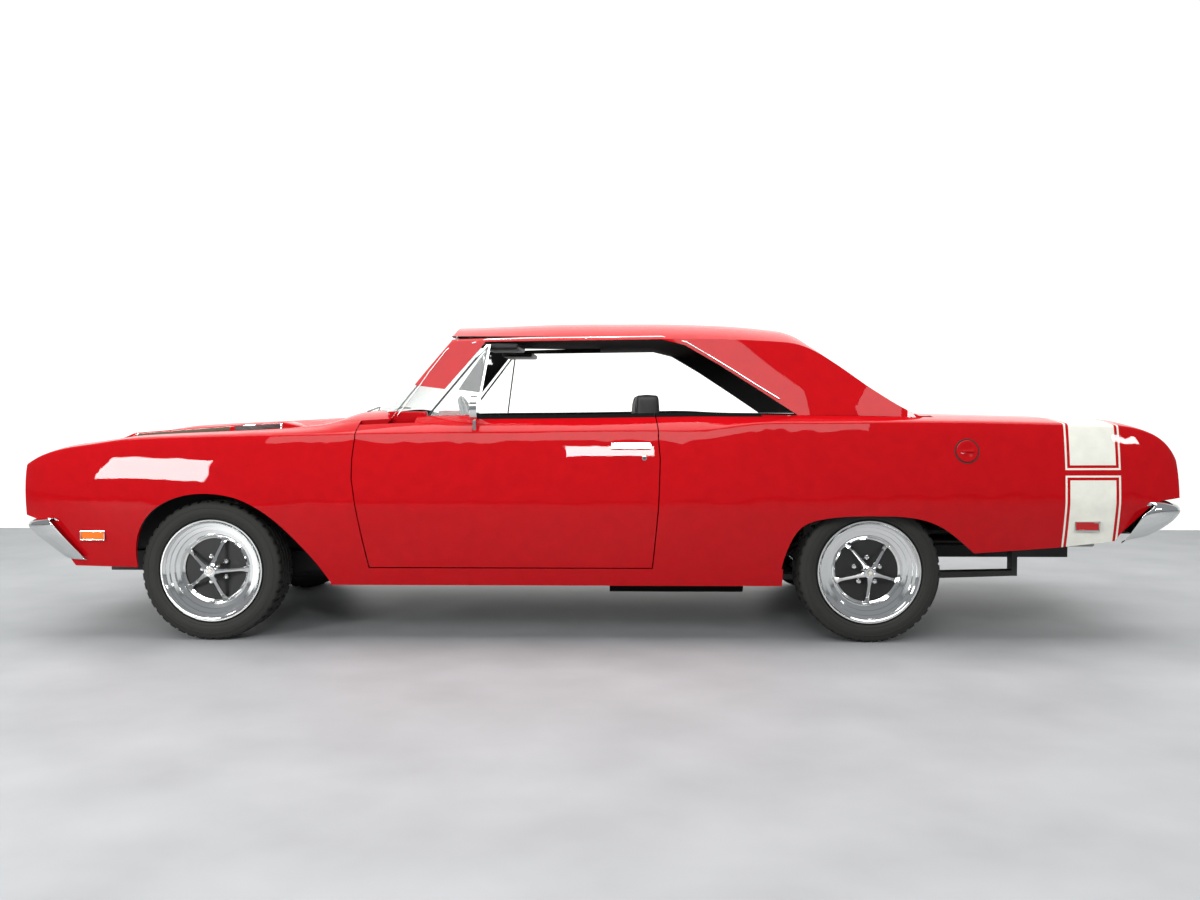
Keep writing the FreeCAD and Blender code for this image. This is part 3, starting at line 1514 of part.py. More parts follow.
def front_seats():
    body = new_body("front_seats")
    for side in (LEFT, RIGHT):
        centre = size("seat_centre") * -side
        shell = new_sketch(body, "XZ_Plane", centre)
        draw_outline(shell, seat_profile(
            size("seat_front"), size("seat_depth"), size("floor_height") + size("floor_thickness"),
            size("seat_base_height"), size("seat_back_height"),
            size("seat_back_thickness")))
        pad(body, shell, size("seat_width"), symmetric=True)
        rest = new_sketch(body, "XZ_Plane", centre)
        back = size("seat_front") + size("seat_depth")
        foot = size("floor_height") + size("floor_thickness") + size("seat_back_height") * 0.97
        draw_box(rest, (back - size("headrest_depth") * 0.4, foot),
                 (back + size("headrest_depth") * 0.6, size("headrest_top")))
        pad(body, rest, size("headrest_width"), symmetric=True)


front_seats()


def rear_seat():
    body = new_body("rear_seat")
    sketch = new_sketch(body, "XZ_Plane")
    draw_outline(sketch, seat_profile(
        size("rear_seat_front"), size("rear_seat_depth"), size("floor_height") + size("tunnel_rise") + size("seat_gap"),
        size("rear_cushion"), size("rear_back_height"), size("seat_back_thickness")))
    pad(body, sketch, size("rear_seat_width"), symmetric=True)


rear_seat()
grouped("seats", "front_seats", "rear_seat")


def package_shelf():
    body = new_body("package_shelf")
    sketch = new_sketch(body, "XZ_Plane")
    start = size("rear_seat_front") + size("rear_seat_depth") + size("seat_back_thickness") * 0.5 + size("seat_gap")
    top = size("shelf_height")
    wall = size("floor_thickness")
    draw_outline(sketch, [
        (start, top), (start, top - size("shelf_drop")), (start + wall, top - size("shelf_drop")),
        (start + wall, top - wall), (size("backlight_base") + wall, top - wall), (size("backlight_base") + wall, top),
    ])
    pad(body, sketch, size("backlight_half_base") * 2, symmetric=True)


package_shelf()


# Steering column and wheel lie on one raked axis.
rake = value("steering_rake")


def dashboard():
    body = new_body("dashboard")
    sketch = new_sketch(body, "XZ_Plane")
    start = size("firewall_front") + size("firewall_thickness")
    rear = size("dash_rear")
    top = size("dash_height")
    drop = size("dash_drop")
    depth = rear - start
    draw_outline(sketch, [
        (start, top - drop * 0.9), (start, top - drop * 0.5), (rear - depth * 0.3, top), (rear - drop * 0.1, top),
        (rear, top - drop * 0.12), (rear - drop * 0.12, top - drop * 0.6), (rear - drop * 0.3, top - drop),
    ])
    pad(body, sketch, (size("cabin_half_width") - size("dash_side_gap")) * 2, symmetric=True)
    notch = new_sketch(body, "YZ_Plane", start)
    side_gap = size("column_radius") + size("seat_gap")
    lift = (size("wheel_centre_x") - rear) * math.tan(math.radians(rake))
    crest = size("wheel_centre_z") - lift + side_gap * 1.15
    draw_box(notch, (size("wheel_centre_y") - side_gap, top - drop * 1.2), (size("wheel_centre_y") + side_gap, crest))
    pocket(body, notch, depth * 1.2, backwards=True)


dashboard()


def steering_column():
    body = new_body("steering_column")
    sketch = new_sketch(body, "XZ_Plane")
    radius = size("column_radius")
    gap_to_wheel = size("steering_hub_length") + size("seat_gap")
    draw_outline(sketch, [
        (-size("column_length"), ZERO), (-size("column_length"), radius * 0.6), (-size("column_length") * 0.4, radius),
        (-gap_to_wheel, radius), (-gap_to_wheel, ZERO),
    ])
    revolve(body, sketch, "H_Axis")
    place(body, size("wheel_centre_x"), size("wheel_centre_y"), size("wheel_centre_z"), Vector(0, 1, 0), -rake)


steering_column()
grouped("dashboard_and_column", "dashboard", "steering_column")


def steering_wheel():
    body = new_body("steering_wheel")
    ring = new_sketch(body, "XZ_Plane")
    draw_circle(ring, (ZERO, size("steering_rim_radius")), size("steering_rim_thickness") / 2)
    revolve(body, ring, "H_Axis")
    hub = new_sketch(body, "YZ_Plane", -size("steering_hub_length"))
    draw_circle(hub, (ZERO, ZERO), size("steering_hub_radius"))
    pad(body, hub, size("steering_hub_length") + size("steering_rim_thickness") / 4)
    spoke = new_sketch(body, "YZ_Plane", -size("steering_rim_thickness") / 4)
    slim = size("steering_hub_radius") / 3
    reach = size("steering_rim_radius")
    draw_box(spoke, (-slim, ZERO), (slim, reach))
    arm = pad(body, spoke, size("steering_rim_thickness") / 2)
    polar(body, arm, spoke, size("steering_spokes"), "N_Axis")
    place(body, size("wheel_centre_x"), size("wheel_centre_y"), size("wheel_centre_z"), Vector(0, 1, 0), -rake)


steering_wheel()


# Fuel tank and exhaust.
def fuel_tank():
    body = new_body("fuel_tank")
    sketch = new_sketch(body, "XY_Plane", size("trunk_floor_height") - size("tank_height"))
    half = size("tank_width") / 2
    draw_box(sketch, (size("tank_front"), -half), (size("tank_front") + size("tank_length"), half))
    pad(body, sketch, size("tank_height"))


fuel_tank()


def exhaust():
    """Two pipes with mufflers that pass over the axle to the tail."""
    radius = value("exhaust_radius")
    low = value("exhaust_height")
    over = value("wheel_height_over_axle")
    solids = []
    for side in (LEFT, RIGHT):
        y = side * value("exhaust_half_track")
        outboard = side * value("tailpipe_half_track")
        axle_x = float(rear_axle)
        route = [
            Vector(value("exhaust_front"), y, low),
            Vector(value("muffler_front") + value("muffler_length"), y, low),
            Vector(axle_x - value("tyre_radius") * 0.8, outboard, over),
            Vector(axle_x + value("tyre_radius") * 0.6, outboard, over),
            Vector(axle_x + value("tyre_radius") * 1.9, outboard, value("tailpipe_height")),
            Vector(value("tailpipe_end"), outboard, value("tailpipe_height")),
        ]
        path = Part.makePolygon(route)
        ring = Part.Wire(Part.makeCircle(radius, route[0], Vector(1, 0, 0)))
        pipe = path.makePipeShell([ring], True, False, 2)
        muffler = Part.makeCylinder(
            value("muffler_radius"), value("muffler_length"), Vector(value("muffler_front"), y, low), Vector(1, 0, 0)
        )
        hanger_x = value("muffler_front") + value("muffler_length") / 2
        hanger = sorted_box(
            (hanger_x, y - value("hanger_width") / 2, low),
            (hanger_x + value("hanger_width"), y + value("hanger_width") / 2, value("floor_height") - value("seat_gap")),
        )
        solids.append(solid_only(pipe.fuse(muffler).fuse(hanger)))
    shaped("exhaust", Part.makeCompound(solids))


exhaust()


doc.recompute()
failed = [item.Label for item in doc.Objects if "Invalid" in item.State or "Error" in item.State]
if failed:
    raise RuntimeError("Failed features: " + ", ".join(failed))
for item in parts:
    if item.Shape.isNull() or not item.Shape.isValid():
        raise RuntimeError("Bad shape: " + item.Label)

os.makedirs("parts", exist_ok=True)
for item in parts:
    item.Shape.exportStep("parts/" + item.Label + ".step")
    box = item.Shape.BoundBox
    print(item.Label, len(item.Shape.Solids), "%.0f %.0f %.0f" % (box.XLength, box.YLength, box.ZLength))
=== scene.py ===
import json
import math

import bpy
from mathutils import Matrix, Vector
from mathutils.bvhtree import BVHTree

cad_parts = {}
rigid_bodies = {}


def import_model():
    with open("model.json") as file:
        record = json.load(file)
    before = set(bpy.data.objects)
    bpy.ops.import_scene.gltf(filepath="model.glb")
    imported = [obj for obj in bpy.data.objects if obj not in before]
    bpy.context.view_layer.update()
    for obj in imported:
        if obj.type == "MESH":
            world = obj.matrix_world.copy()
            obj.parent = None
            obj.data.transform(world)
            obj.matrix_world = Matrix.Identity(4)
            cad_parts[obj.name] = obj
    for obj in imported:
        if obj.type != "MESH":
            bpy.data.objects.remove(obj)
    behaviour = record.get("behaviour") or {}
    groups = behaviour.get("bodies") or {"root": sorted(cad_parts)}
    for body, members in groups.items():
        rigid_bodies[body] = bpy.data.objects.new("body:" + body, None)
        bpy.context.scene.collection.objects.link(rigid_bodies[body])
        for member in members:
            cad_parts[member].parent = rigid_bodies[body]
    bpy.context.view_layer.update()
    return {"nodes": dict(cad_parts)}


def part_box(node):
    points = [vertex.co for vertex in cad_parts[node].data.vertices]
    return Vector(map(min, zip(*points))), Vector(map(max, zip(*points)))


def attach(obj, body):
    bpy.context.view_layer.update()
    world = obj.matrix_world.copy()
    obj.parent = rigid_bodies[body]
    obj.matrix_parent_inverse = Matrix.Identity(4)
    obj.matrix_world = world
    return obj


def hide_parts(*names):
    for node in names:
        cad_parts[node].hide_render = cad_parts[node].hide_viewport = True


bl_info = {
    "name": "Muscle car",
    "version": (1, 0, 0),
    "blender": (4, 5, 0),
    "location": "View3D > Sidebar > Car",
    "description": "Paint, chrome, glass, tyres, trim and cabin of a red two door hardtop",
    "category": "Object",
}

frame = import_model()
nodes = frame["nodes"]

LEFT = -1.0
RIGHT = 1.0
SIDES = (("left", LEFT), ("right", RIGHT))
SMOOTH_ANGLE = math.radians(32)
# How near points are joined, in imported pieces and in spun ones.
MERGE_PACKED = 0.00002
MERGE_SPUN = 0.00005
# How far out a look at a side of the car starts.
LOOK_FROM = 3.0
# Each end's axle place and tyre radius.
AXLES = {"front": (-1.650, 0.302), "rear": (1.170, 0.302)}
RIM_RADIUS = 0.2066
LIP_INSET = 0.006
POCKET_DEPTH = 0.062
POCKET_RADIUS = 0.1345
# The rim's visible side from its lip to its disc, as depth behind the lip and radius.
RIM_STEPS = (
    (0.000, 0.2195), (0.000, 0.2135), (0.004, 0.2105), (0.009, 0.2035), (0.019, 0.2025), (0.021, 0.1905),
    (0.031, 0.1885), (0.033, 0.1725), (0.046, 0.1700), (0.049, 0.1535), (0.060, 0.1505), (0.0565, 0.1420),
    (0.060, 0.1345), (0.066, 0.1335), (0.066, 0.0),
)
RIM_BACK = ((0.074, 0.0), (0.074, 0.150), (0.080, 0.172), (0.100, 0.184))
# The rim's inner lip, as depth short of the whole width and radius, and the bed that carries the tyre.
RIM_INNER = ((0.030, 0.188), (0.006, 0.200), (0.0, 0.2195), (0.005, 0.2195), (0.008, 0.2056), (0.050, 0.2050))
RIM_BED = ((0.120, 0.1960), (0.080, 0.1960), (0.046, 0.2050), (0.008, 0.2056), (0.005, 0.2195))
RIM_SIDES = 96
SPOKES = 5
SPOKE_ANGLES = {"front": 18.0, "rear": 36.0}
# A spoke's foot on the rim's disc, its size there, and its way to the cap: radius, depth and change of width.
SPOKE_FOOT = (0.146, 0.060)
SPOKE_SIZE = (0.034, 0.010, 1.0)
SPOKE_WAY = (
    (0.126, 0.050, 0.55), (0.112, 0.040, 0.72), (0.060, 0.010, 1.0), (0.034, -0.004, 1.4), (0.018, -0.010, 1.3),
)
SPOKE_DEEPER = 1.12
SPOKE_EDGE = 0.0016
CAP_SECTION = (
    (-0.062, 0.0), (-0.062, 0.034), (-0.030, 0.033), (0.004, 0.0275), (0.014, 0.0265), (0.0175, 0.024),
    (0.018, 0.019), (0.0165, 0.0175), (0.0165, 0.0125), (0.0185, 0.0112), (0.020, 0.0100), (0.020, 0.0),
)
CAP_SIDES = 40
BADGE_SECTION = ((0.0195, 0.0), (0.0195, 0.0072), (0.0208, 0.0070), (0.0212, 0.0060), (0.0212, 0.0))
BADGE_SIDES = 32
LUG_CIRCLE = 0.057
LUG_SECTION = ((-0.066, 0.0), (-0.066, 0.0115), (-0.050, 0.0110), (-0.046, 0.0080), (-0.0445, 0.0))
LUG_SIDES = 12
# The tyre's section from its bead to its tread, as shares of half its width and of its height.
SIDEWALL_SHARES = (
    (0.79, 0.00), (0.79, 0.17), (0.930, 0.215), (0.962, 0.27), (0.976, 0.33), (0.966, 0.345), (0.985, 0.40),
    (0.996, 0.50), (0.990, 0.60), (0.980, 0.66), (0.988, 0.675), (0.974, 0.70), (0.962, 0.80), (0.925, 0.90),
    (0.880, 0.965), (0.820, 0.995),
)
TREAD_GROOVES = (0.52, 0.18)
GROOVE_HALF = 0.028
GROOVE_DEPTH = 0.007
TYRE_STEPS = 132
# The notches on the tread's shoulders and middle ribs: band across, its depth, every how many steps and which.
NOTCHES = ((0.56, 0.93, 0.012, 3, 0), (0.22, 0.47, 0.003, 4, 1))
NOTCH_DEPTH = 0.005

PAINTED = {
    "chassis": (
        "cowl_panel", "front_fender_left", "front_fender_right", "quarter_panel_left", "quarter_panel_right",
        "roof", "rear_deck", "tail_panel", "sills",
    ),
    "door_left": ("door_left",),
    "door_right": ("door_right",),
    "hood": ("hood",),
    "trunk_lid": ("trunk_lid",),
}


def tone(name, text, value):
    """A colour property."""
    return bpy.props.FloatVectorProperty(
        name=name, description=text, subtype="COLOR", size=3, min=0, max=1, default=value,
    )


def length(name, text, value, unit="LENGTH"):
    """A length property."""
    return bpy.props.FloatProperty(name=name, description=text, unit=unit, default=value)


# Colours and sizes that a user may change.
class CarColours(bpy.types.PropertyGroup):
    paint: tone("Paint", "Body colour", (0.43, 0.003, 0.006))
    stripe: tone("Stripe", "Tail stripe colour", (0.76, 0.76, 0.68))
    chrome: tone("Chrome", "Bright metal colour", (0.80, 0.81, 0.80))
    rubber: tone("Rubber", "Tyre colour", (0.011, 0.011, 0.009))
    vinyl: tone("Vinyl", "Seat and trim colour", (0.016, 0.016, 0.016))
    floor: tone("Floor", "Studio floor colour", (0.33, 0.34, 0.35))
    wall: tone("Wall", "Studio wall colour", (0.84, 0.85, 0.83))


class CarSizes(bpy.types.PropertyGroup):
    stripe_front: length("Stripe front", "Front edge of the tail stripe", 1.970)
    stripe_rear: length("Stripe rear", "Rear edge of the tail stripe", 2.205)
    stripe_split: length("Stripe split", "Height of the red band between the two boxes", 0.7305)
    split_half: length("Split half", "Half the height of that band", 0.0115)
    pinstripe: length("Pinstripe", "Width of the outer line", 0.008)
    stripe_gap: length("Stripe gap", "Painted gap inside the outer line", 0.012)
    camera_lens: length("Camera lens", "Focal length", 33.84, "CAMERA")
    camera_distance: length("Camera distance", "Camera to the middle of the car", 5.6)
    camera_height: length("Camera height", "Camera over the floor", 1.014)


def colours():
    return bpy.context.scene.car_colours


def sizes():
    return bpy.context.scene.car_sizes


# Selection, copies and finished pieces.
def choose(*pieces):
    """Selects only these pieces and makes the first one active."""
    if bpy.context.object and bpy.context.object.mode != "OBJECT":
        object_mode()
    bpy.ops.object.select_all(action="DESELECT")
    for piece in pieces:
        piece.select_set(True)
    bpy.context.view_layer.objects.active = pieces[0]


def object_mode():
    bpy.ops.object.mode_set(mode="OBJECT")


def edit_all():
    """Edit mode with all of the mesh selected."""
    bpy.ops.object.mode_set(mode="EDIT")
    bpy.ops.mesh.select_all(action="SELECT")


def face_outward():
    """Turns all faces of the edited mesh outwards."""
    bpy.ops.mesh.select_all(action="SELECT")
    bpy.ops.mesh.normals_make_consistent(inside=False)


def draw_out(step):
    """Draws the selected part of the edited mesh out by a step."""
    bpy.ops.mesh.extrude_region_move(TRANSFORM_OT_translate={"value": step})


def apply_place():
    """Sets the active piece's place, turn and size in its mesh."""
    bpy.ops.object.transform_apply(location=True, rotation=True, scale=True)


def started(primitive, scale=(1.0, 1.0, 1.0), **settings):
    """A new primitive, scaled and applied, with nothing else selected."""
    bpy.ops.object.select_all(action="DESELECT")
    primitive(**settings)
    piece = bpy.context.object
    piece.scale = scale
    apply_place()
    return piece


def set_material(piece, *materials):
    piece.data.materials.clear()
    for material in materials:
        piece.data.materials.append(material)


def smooth(piece, angle=SMOOTH_ANGLE):
    choose(piece)
    bpy.ops.object.shade_smooth_by_angle(angle=angle)


def merged_copy(node, name):
    """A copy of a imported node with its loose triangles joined."""
    piece = nodes[node].copy()
    piece.data = nodes[node].data.copy()
    piece.name = name
    piece.parent = None
    for key in list(piece.keys()):
        del piece[key]
    bpy.context.scene.collection.objects.link(piece)
    choose(piece)
    edit_all()
    bpy.ops.mesh.remove_doubles(threshold=MERGE_PACKED)
    bpy.ops.mesh.customdata_custom_splitnormals_clear()
    object_mode()
    return piece


def dressed(node, body, material):
    """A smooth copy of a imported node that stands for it."""
    piece = merged_copy(node, node + "_skin")
    smooth(piece)
    set_material(piece, material)
    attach(piece, body)
    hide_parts(node)
    return piece


def inner_faces(piece, test):
    """Gives the faces that pass a test the second material."""
    for face in piece.data.polygons:
        if test(face.center, face.normal):
            face.material_index = 1


def faces_in(centre, normal):
    """Whether a panel's face looks into the car or down."""
    side = LEFT if centre.y < 0 else RIGHT
    return normal.y * side < -LOOKS_IN or normal.z < -LOOKS_DOWN


def in_vent_rubber(centre, normal):
    """Whether a face of the door trim is the vent window's rubber, in front of its bright post."""
    post = VENT_POST_FOOT + (centre.z - VENT_POST_HEIGHT) * VENT_POST_LEAN
    return centre.z > VENT_LOW and abs(centre.y) < VENT_REACH and centre.x < post


def faces_down(centre, normal):
    """Whether a face looks down or towards the cabin."""
    side = LEFT if centre.y < 0 else RIGHT
    return normal.z < -FLAT_DOWN or (abs(centre.y) > FLAT_EDGE and normal.y * side < -FLAT_IN)


# How far a face has to look inwards or down to be an inner one: on upright panels, and on flat ones, where only
# faces beyond the edge's place across the car count as looking inwards.
LOOKS_IN = 0.25
LOOKS_DOWN = 0.45
FLAT_DOWN = 0.2
FLAT_IN = 0.35
FLAT_EDGE = 0.4
# The vent window's post: its foot along the car and its height, its lean, and where the window's rubber lies.
VENT_POST_FOOT = -0.545
VENT_POST_HEIGHT = 0.945
VENT_POST_LEAN = 0.142
VENT_LOW = 0.93
VENT_REACH = 0.78
# Hood scoops: their top line, their middle across the car, half their width and their depth.
SCOOP_LINE = (
    (-2.235, 0.840), (-2.124, 0.887), (-1.685, 0.921), (-1.440, 0.935), (-1.324, 0.907), (-1.270, 0.885),
)
SCOOP_MIDDLE = 0.350
SCOOP_HALF = 0.095
SCOOP_DEEP = 0.038
SCOOP_DOWN = 0.3
# Behind this place the scoop narrows to this share at each step.
SCOOP_POINT = -1.40
SCOOP_NARROW = 0.62
INLET = (-2.110, -1.685)
LOUVRE = (-1.662, -1.452)
SLATS = 3
SLAT_TOP = 0.010
SLAT_PITCH = 0.006
SLAT_WALL = 0.002
SLAT_PROUD = 0.0028
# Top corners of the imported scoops, as places along the car and heights, and how far they are lowered.
PACKED_SCOOP = ((-2.1495, 0.9206), (-1.7395, 0.9617), (-1.5904, 0.9672))
PACKED_SCOOP_DROP = 0.036
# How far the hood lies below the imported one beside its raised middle, by place along the car.
HOLLOW = (
    (-2.385, 0.004), (-2.250, 0.020), (-2.100, 0.032), (-1.500, 0.054), (-1.350, 0.060), (-1.188, 0.044),
    (-1.100, 0.008), (-1.050, 0.0),
)
# Where the hollow begins and ends across the car, and how much of it is gone at the fender's crown.
HOLLOW_BEGIN = (0.06, 0.30)
HOLLOW_CROWN = (0.58, 0.72)
HOLLOW_END = (0.72, 0.83)
HOLLOW_GONE = 0.75
HOLLOW_HEIGHTS = (0.62, 0.80)
# How far the nose is lowered, and from where to where that grows, forwards and upwards.
NOSE_DROP = 0.012
NOSE_REACH = (1.95, 2.20)
NOSE_HEIGHTS = (0.70, 0.80)
# The black rubber under the side windows: its outer edge, its lowest height and its ends. Then the clear coat.
SEAL_REACH = 0.742
SEAL_HEIGHT = 0.930
SEAL_ENDS = (-0.530, 0.720)
COAT = 0.7
# The sills' ends: the places beyond which they are, and how far they are lengthened.
SILL_ENDS = (-1.0, 0.7)
SILL_REACH = 0.060
# How far the roof's middle rises, half the width that rises, and the heights between which it does.
CROWN_RISE = 0.027
CROWN_HALF = 0.62
CROWN_HEIGHTS = (0.98, 1.30)


def along(line, x):
    """The height of a line at one place along the car."""
    for (start, low), (stop, high) in zip(line, line[1:]):
        if start <= x <= stop:
            return low + (high - low) * (x - start) / (stop - start)
    return line[0][1] if x < line[0][0] else line[-1][1]


def eased(value, low, high):
    """A smooth step from 0 to 1 between two values."""
    share = min(max((value - low) / (high - low), 0.0), 1.0)
    return share * share * (3.0 - 2.0 * share)


def crowned(piece):
    """Gives the roof and its glass the fuller crown of the real car."""
    for vertex in piece.data.vertices:
        share = max(0.0, 1.0 - (vertex.co.y / CROWN_HALF) ** 2)
        vertex.co.z += CROWN_RISE * share * eased(vertex.co.z, *CROWN_HEIGHTS)


def lengthened(piece):
    """Draws the sills' ends apart."""
    front, rear = SILL_ENDS
    for vertex in piece.data.vertices:
        if vertex.co.x < front:
            vertex.co.x -= SILL_REACH
        elif vertex.co.x > rear:
            vertex.co.x += SILL_REACH


SURFACES = {}


def surface(node):
    """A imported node's faces, ready to be met by straight looks."""
    if node not in SURFACES:
        mesh = nodes[node].data
        corners = [vertex.co for vertex in mesh.vertices]
        SURFACES[node] = BVHTree.FromPolygons(corners, [tuple(face.vertices) for face in mesh.polygons])
    return SURFACES[node]


def hollowed(piece):
    """Lowers the hood beside its raised middle, and its neighbours with it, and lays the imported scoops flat."""
    near = 0.001
    for vertex in piece.data.vertices:
        x, y, z = vertex.co
        y = abs(y)
        if abs(y - SCOOP_MIDDLE) < SCOOP_HALF + near * 2:
            for place, level in PACKED_SCOOP:
                if abs(x - place) < near and abs(z - level) < near:
                    z = level - PACKED_SCOOP_DROP
        share = eased(y, *HOLLOW_BEGIN) * (1.0 - HOLLOW_GONE * eased(y, *HOLLOW_CROWN))
        share = share * (1.0 - eased(y, *HOLLOW_END))
        nose = NOSE_DROP * eased(-x, *NOSE_REACH) * eased(z, *NOSE_HEIGHTS)
        vertex.co.z = z - along(HOLLOW, x) * share * eased(z, *HOLLOW_HEIGHTS) - nose


def look(node, x, z, side):
    """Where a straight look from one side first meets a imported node, and which way the surface faces there."""
    place, normal = surface(node).ray_cast(Vector((x, side * LOOK_FROM, z)), Vector((0.0, -side, 0.0)))[:2]
    if place is None:
        raise RuntimeError("Nothing of %s at %.3f, %.3f" % (node, x, z))
    return place, normal if normal.y * side > 0 else -normal


def done(piece, name, body, slot, *finishes, angle=SMOOTH_ANGLE, outward=True):
    """Names a new piece, sets its place in its mesh and fixes it to its body."""
    choose(piece)
    apply_place()
    if outward:
        edit_all()
        face_outward()
        object_mode()
    smooth(piece, angle)
    piece.name = name
    set_material(piece, *[finish(item) for item in finishes])
    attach(piece, body)
    return piece


def bright(piece, name, body="chassis"):
    """Finishes a new piece in chrome."""
    done(piece, name, body, "bright_trim", "chrome")


def bar(points, radius, turn=(0.0, math.pi / 2, 0.0), vertices=10):
    """A closed bar through the points, drawn out from a disc."""
    circle = bpy.ops.mesh.primitive_circle_add
    started(circle, vertices=vertices, radius=radius, fill_type="NGON", location=points[0], rotation=turn)
    edit_all()
    for start, stop in zip(points, points[1:]):
        draw_out(Vector(stop) - Vector(start))
    object_mode()
    return bpy.context.object


def slab(low, high, edge, segments=3):
    """A block between two corners with rounded edges."""
    low, high = Vector(low), Vector(high)
    piece = started(bpy.ops.mesh.primitive_cube_add, high - low, size=1.0, location=(low + high) / 2)
    edit_all()
    bpy.ops.mesh.bevel(offset=edge, segments=segments, affect="EDGES")
    object_mode()
    return piece


def side_slab(low, high, side, edge):
    """A block on one side of the car, between two corners given for the right side."""
    edges = sorted((side * low[1], side * high[1]))
    return slab((low[0], edges[0], low[2]), (high[0], edges[1], high[2]), edge)


def spun(section, centre, steps, axis=(0.0, 1.0, 0.0)):
    """A ring or bowl: a section of places along and off its axis, spun about it."""
    axis = Vector(axis).normalized()
    start = Vector((0.0, 0.0, 1.0)) if abs(axis.z) < 0.9 else Vector((1.0, 0.0, 0.0))
    out = (start - axis * start.dot(axis)).normalized()
    centre = Vector(centre)
    circle = bpy.ops.mesh.primitive_circle_add
    piece = started(circle, vertices=len(section), radius=0.1, location=(0.0, 0.0, 0.0))
    for vertex, (far, off) in zip(piece.data.vertices, section):
        vertex.co = centre + axis * far + out * off
    edit_all()
    bpy.ops.mesh.spin(steps=steps, angle=2 * math.pi, center=centre, axis=axis)
    bpy.ops.mesh.select_all(action="SELECT")
    bpy.ops.mesh.remove_doubles(threshold=MERGE_SPUN)
    bpy.ops.mesh.normals_make_consistent(inside=False)
    object_mode()
    return piece


def sided(section, side):
    """A section that points out from one side of the car."""
    return [(side * out, radius) for out, radius in section]


def window_frame(centre, width, height, side, wall, depth):
    """A thin upright frame that faces one side."""
    plane = bpy.ops.mesh.primitive_plane_add
    piece = started(plane, (width, height, 1.0), size=1.0, location=centre, rotation=(math.pi / 2, 0.0, 0.0))
    edit_all()
    bpy.ops.mesh.inset(thickness=wall, depth=0.0)
    bpy.ops.mesh.delete(type="FACE")
    bpy.ops.mesh.select_all(action="SELECT")
    draw_out((0.0, side * depth, 0.0))
    face_outward()
    bpy.ops.mesh.bevel(offset=wall / 5, segments=2, affect="EDGES")
    object_mode()
    return piece


# Node trees.
class Tree:
    """Short calls for the nodes of a material or a group."""

    def __init__(self, tree):
        self.tree = tree

    def add(self, kind, **settings):
        node = self.tree.nodes.new(kind)
        for name, value in settings.items():
            setattr(node, name, value)
        return node

    def link(self, source, target):
        self.tree.links.new(source, target)

    def feed(self, socket, value):
        """Gives a socket another socket's result, a colour or a number."""
        if isinstance(value, bpy.types.NodeSocket):
            self.link(value, socket)
        elif socket.type == "RGBA":
            socket.default_value = (*value[:3], 1.0)
        else:
            socket.default_value = value

    def set(self, node, **values):
        for name, value in values.items():
            self.feed(node.inputs[name.replace("_", " ")], value)

    def math(self, operation, *values):
        node = self.add("ShaderNodeMath", operation=operation)
        for socket, value in zip(node.inputs, values):
            self.feed(socket, value)
        return node.outputs[0]

    def axes(self, vector):
        """The three parts of a vector."""
        split = self.add("ShaderNodeSeparateXYZ")
        self.link(vector, split.inputs[0])
        return split.outputs

    def between(self, value, low, high):
        above = self.math("GREATER_THAN", value, low)
        below = self.math("LESS_THAN", value, high)
        return self.math("MULTIPLY", above, below)

    def mix(self, share, first, second):
        node = self.add("ShaderNodeMix", data_type="RGBA")
        for index, value in ((0, share), (6, first), (7, second)):
            self.feed(node.inputs[index], value)
        return node.outputs[2]

    def noise(self, vector, scale, detail=2.0):
        node = self.add("ShaderNodeTexNoise")
        self.set(node, Vector=vector, Scale=scale, Detail=detail)
        return node.outputs["Fac"]

    def bump(self, height, strength, distance=0.001):
        node = self.add("ShaderNodeBump")
        self.set(node, Height=height, Strength=strength, Distance=distance)
        return node.outputs["Normal"]

    def place(self):
        return self.add("ShaderNodeTexCoord").outputs["Object"]


def new_material(name, colour, roughness, metallic=0.0):
    """A material with one Principled shader, and the calls for its tree."""
    material = bpy.data.materials.new(name)
    material.use_nodes = True
    tree = Tree(material.node_tree)
    shader = material.node_tree.nodes["Principled BSDF"]
    tree.set(shader, Base_Color=colour, Roughness=roughness, Metallic=metallic)
    return material, tree, shader


def stripe_mask(tree, vector):
    """Where the tail stripe and its outlines lie."""
    x, y, z = tree.axes(vector)
    line = sizes().pinstripe
    step = line + sizes().stripe_gap
    front = sizes().stripe_front
    rear = sizes().stripe_rear
    outer = tree.between(x, front, rear)
    inner = tree.between(x, front + line, rear - line)
    fill = tree.between(x, front + step, rear - step)
    total = None
    for way, sign in (("GREATER_THAN", 1.0), ("LESS_THAN", -1.0)):
        edge = sizes().stripe_split + sign * sizes().split_half
        out_z = tree.math(way, z, edge)
        in_z = tree.math(way, z, edge + sign * line)
        fill_z = tree.math(way, z, edge + sign * step)
        ring = tree.math("SUBTRACT", tree.math("MULTIPLY", outer, out_z), tree.math("MULTIPLY", inner, in_z))
        box = tree.math("ADD", ring, tree.math("MULTIPLY", fill, fill_z))
        total = box if total is None else tree.math("ADD", total, box)
    return tree.math("MINIMUM", total, 1.0)


GRAIN = "fine_grain"


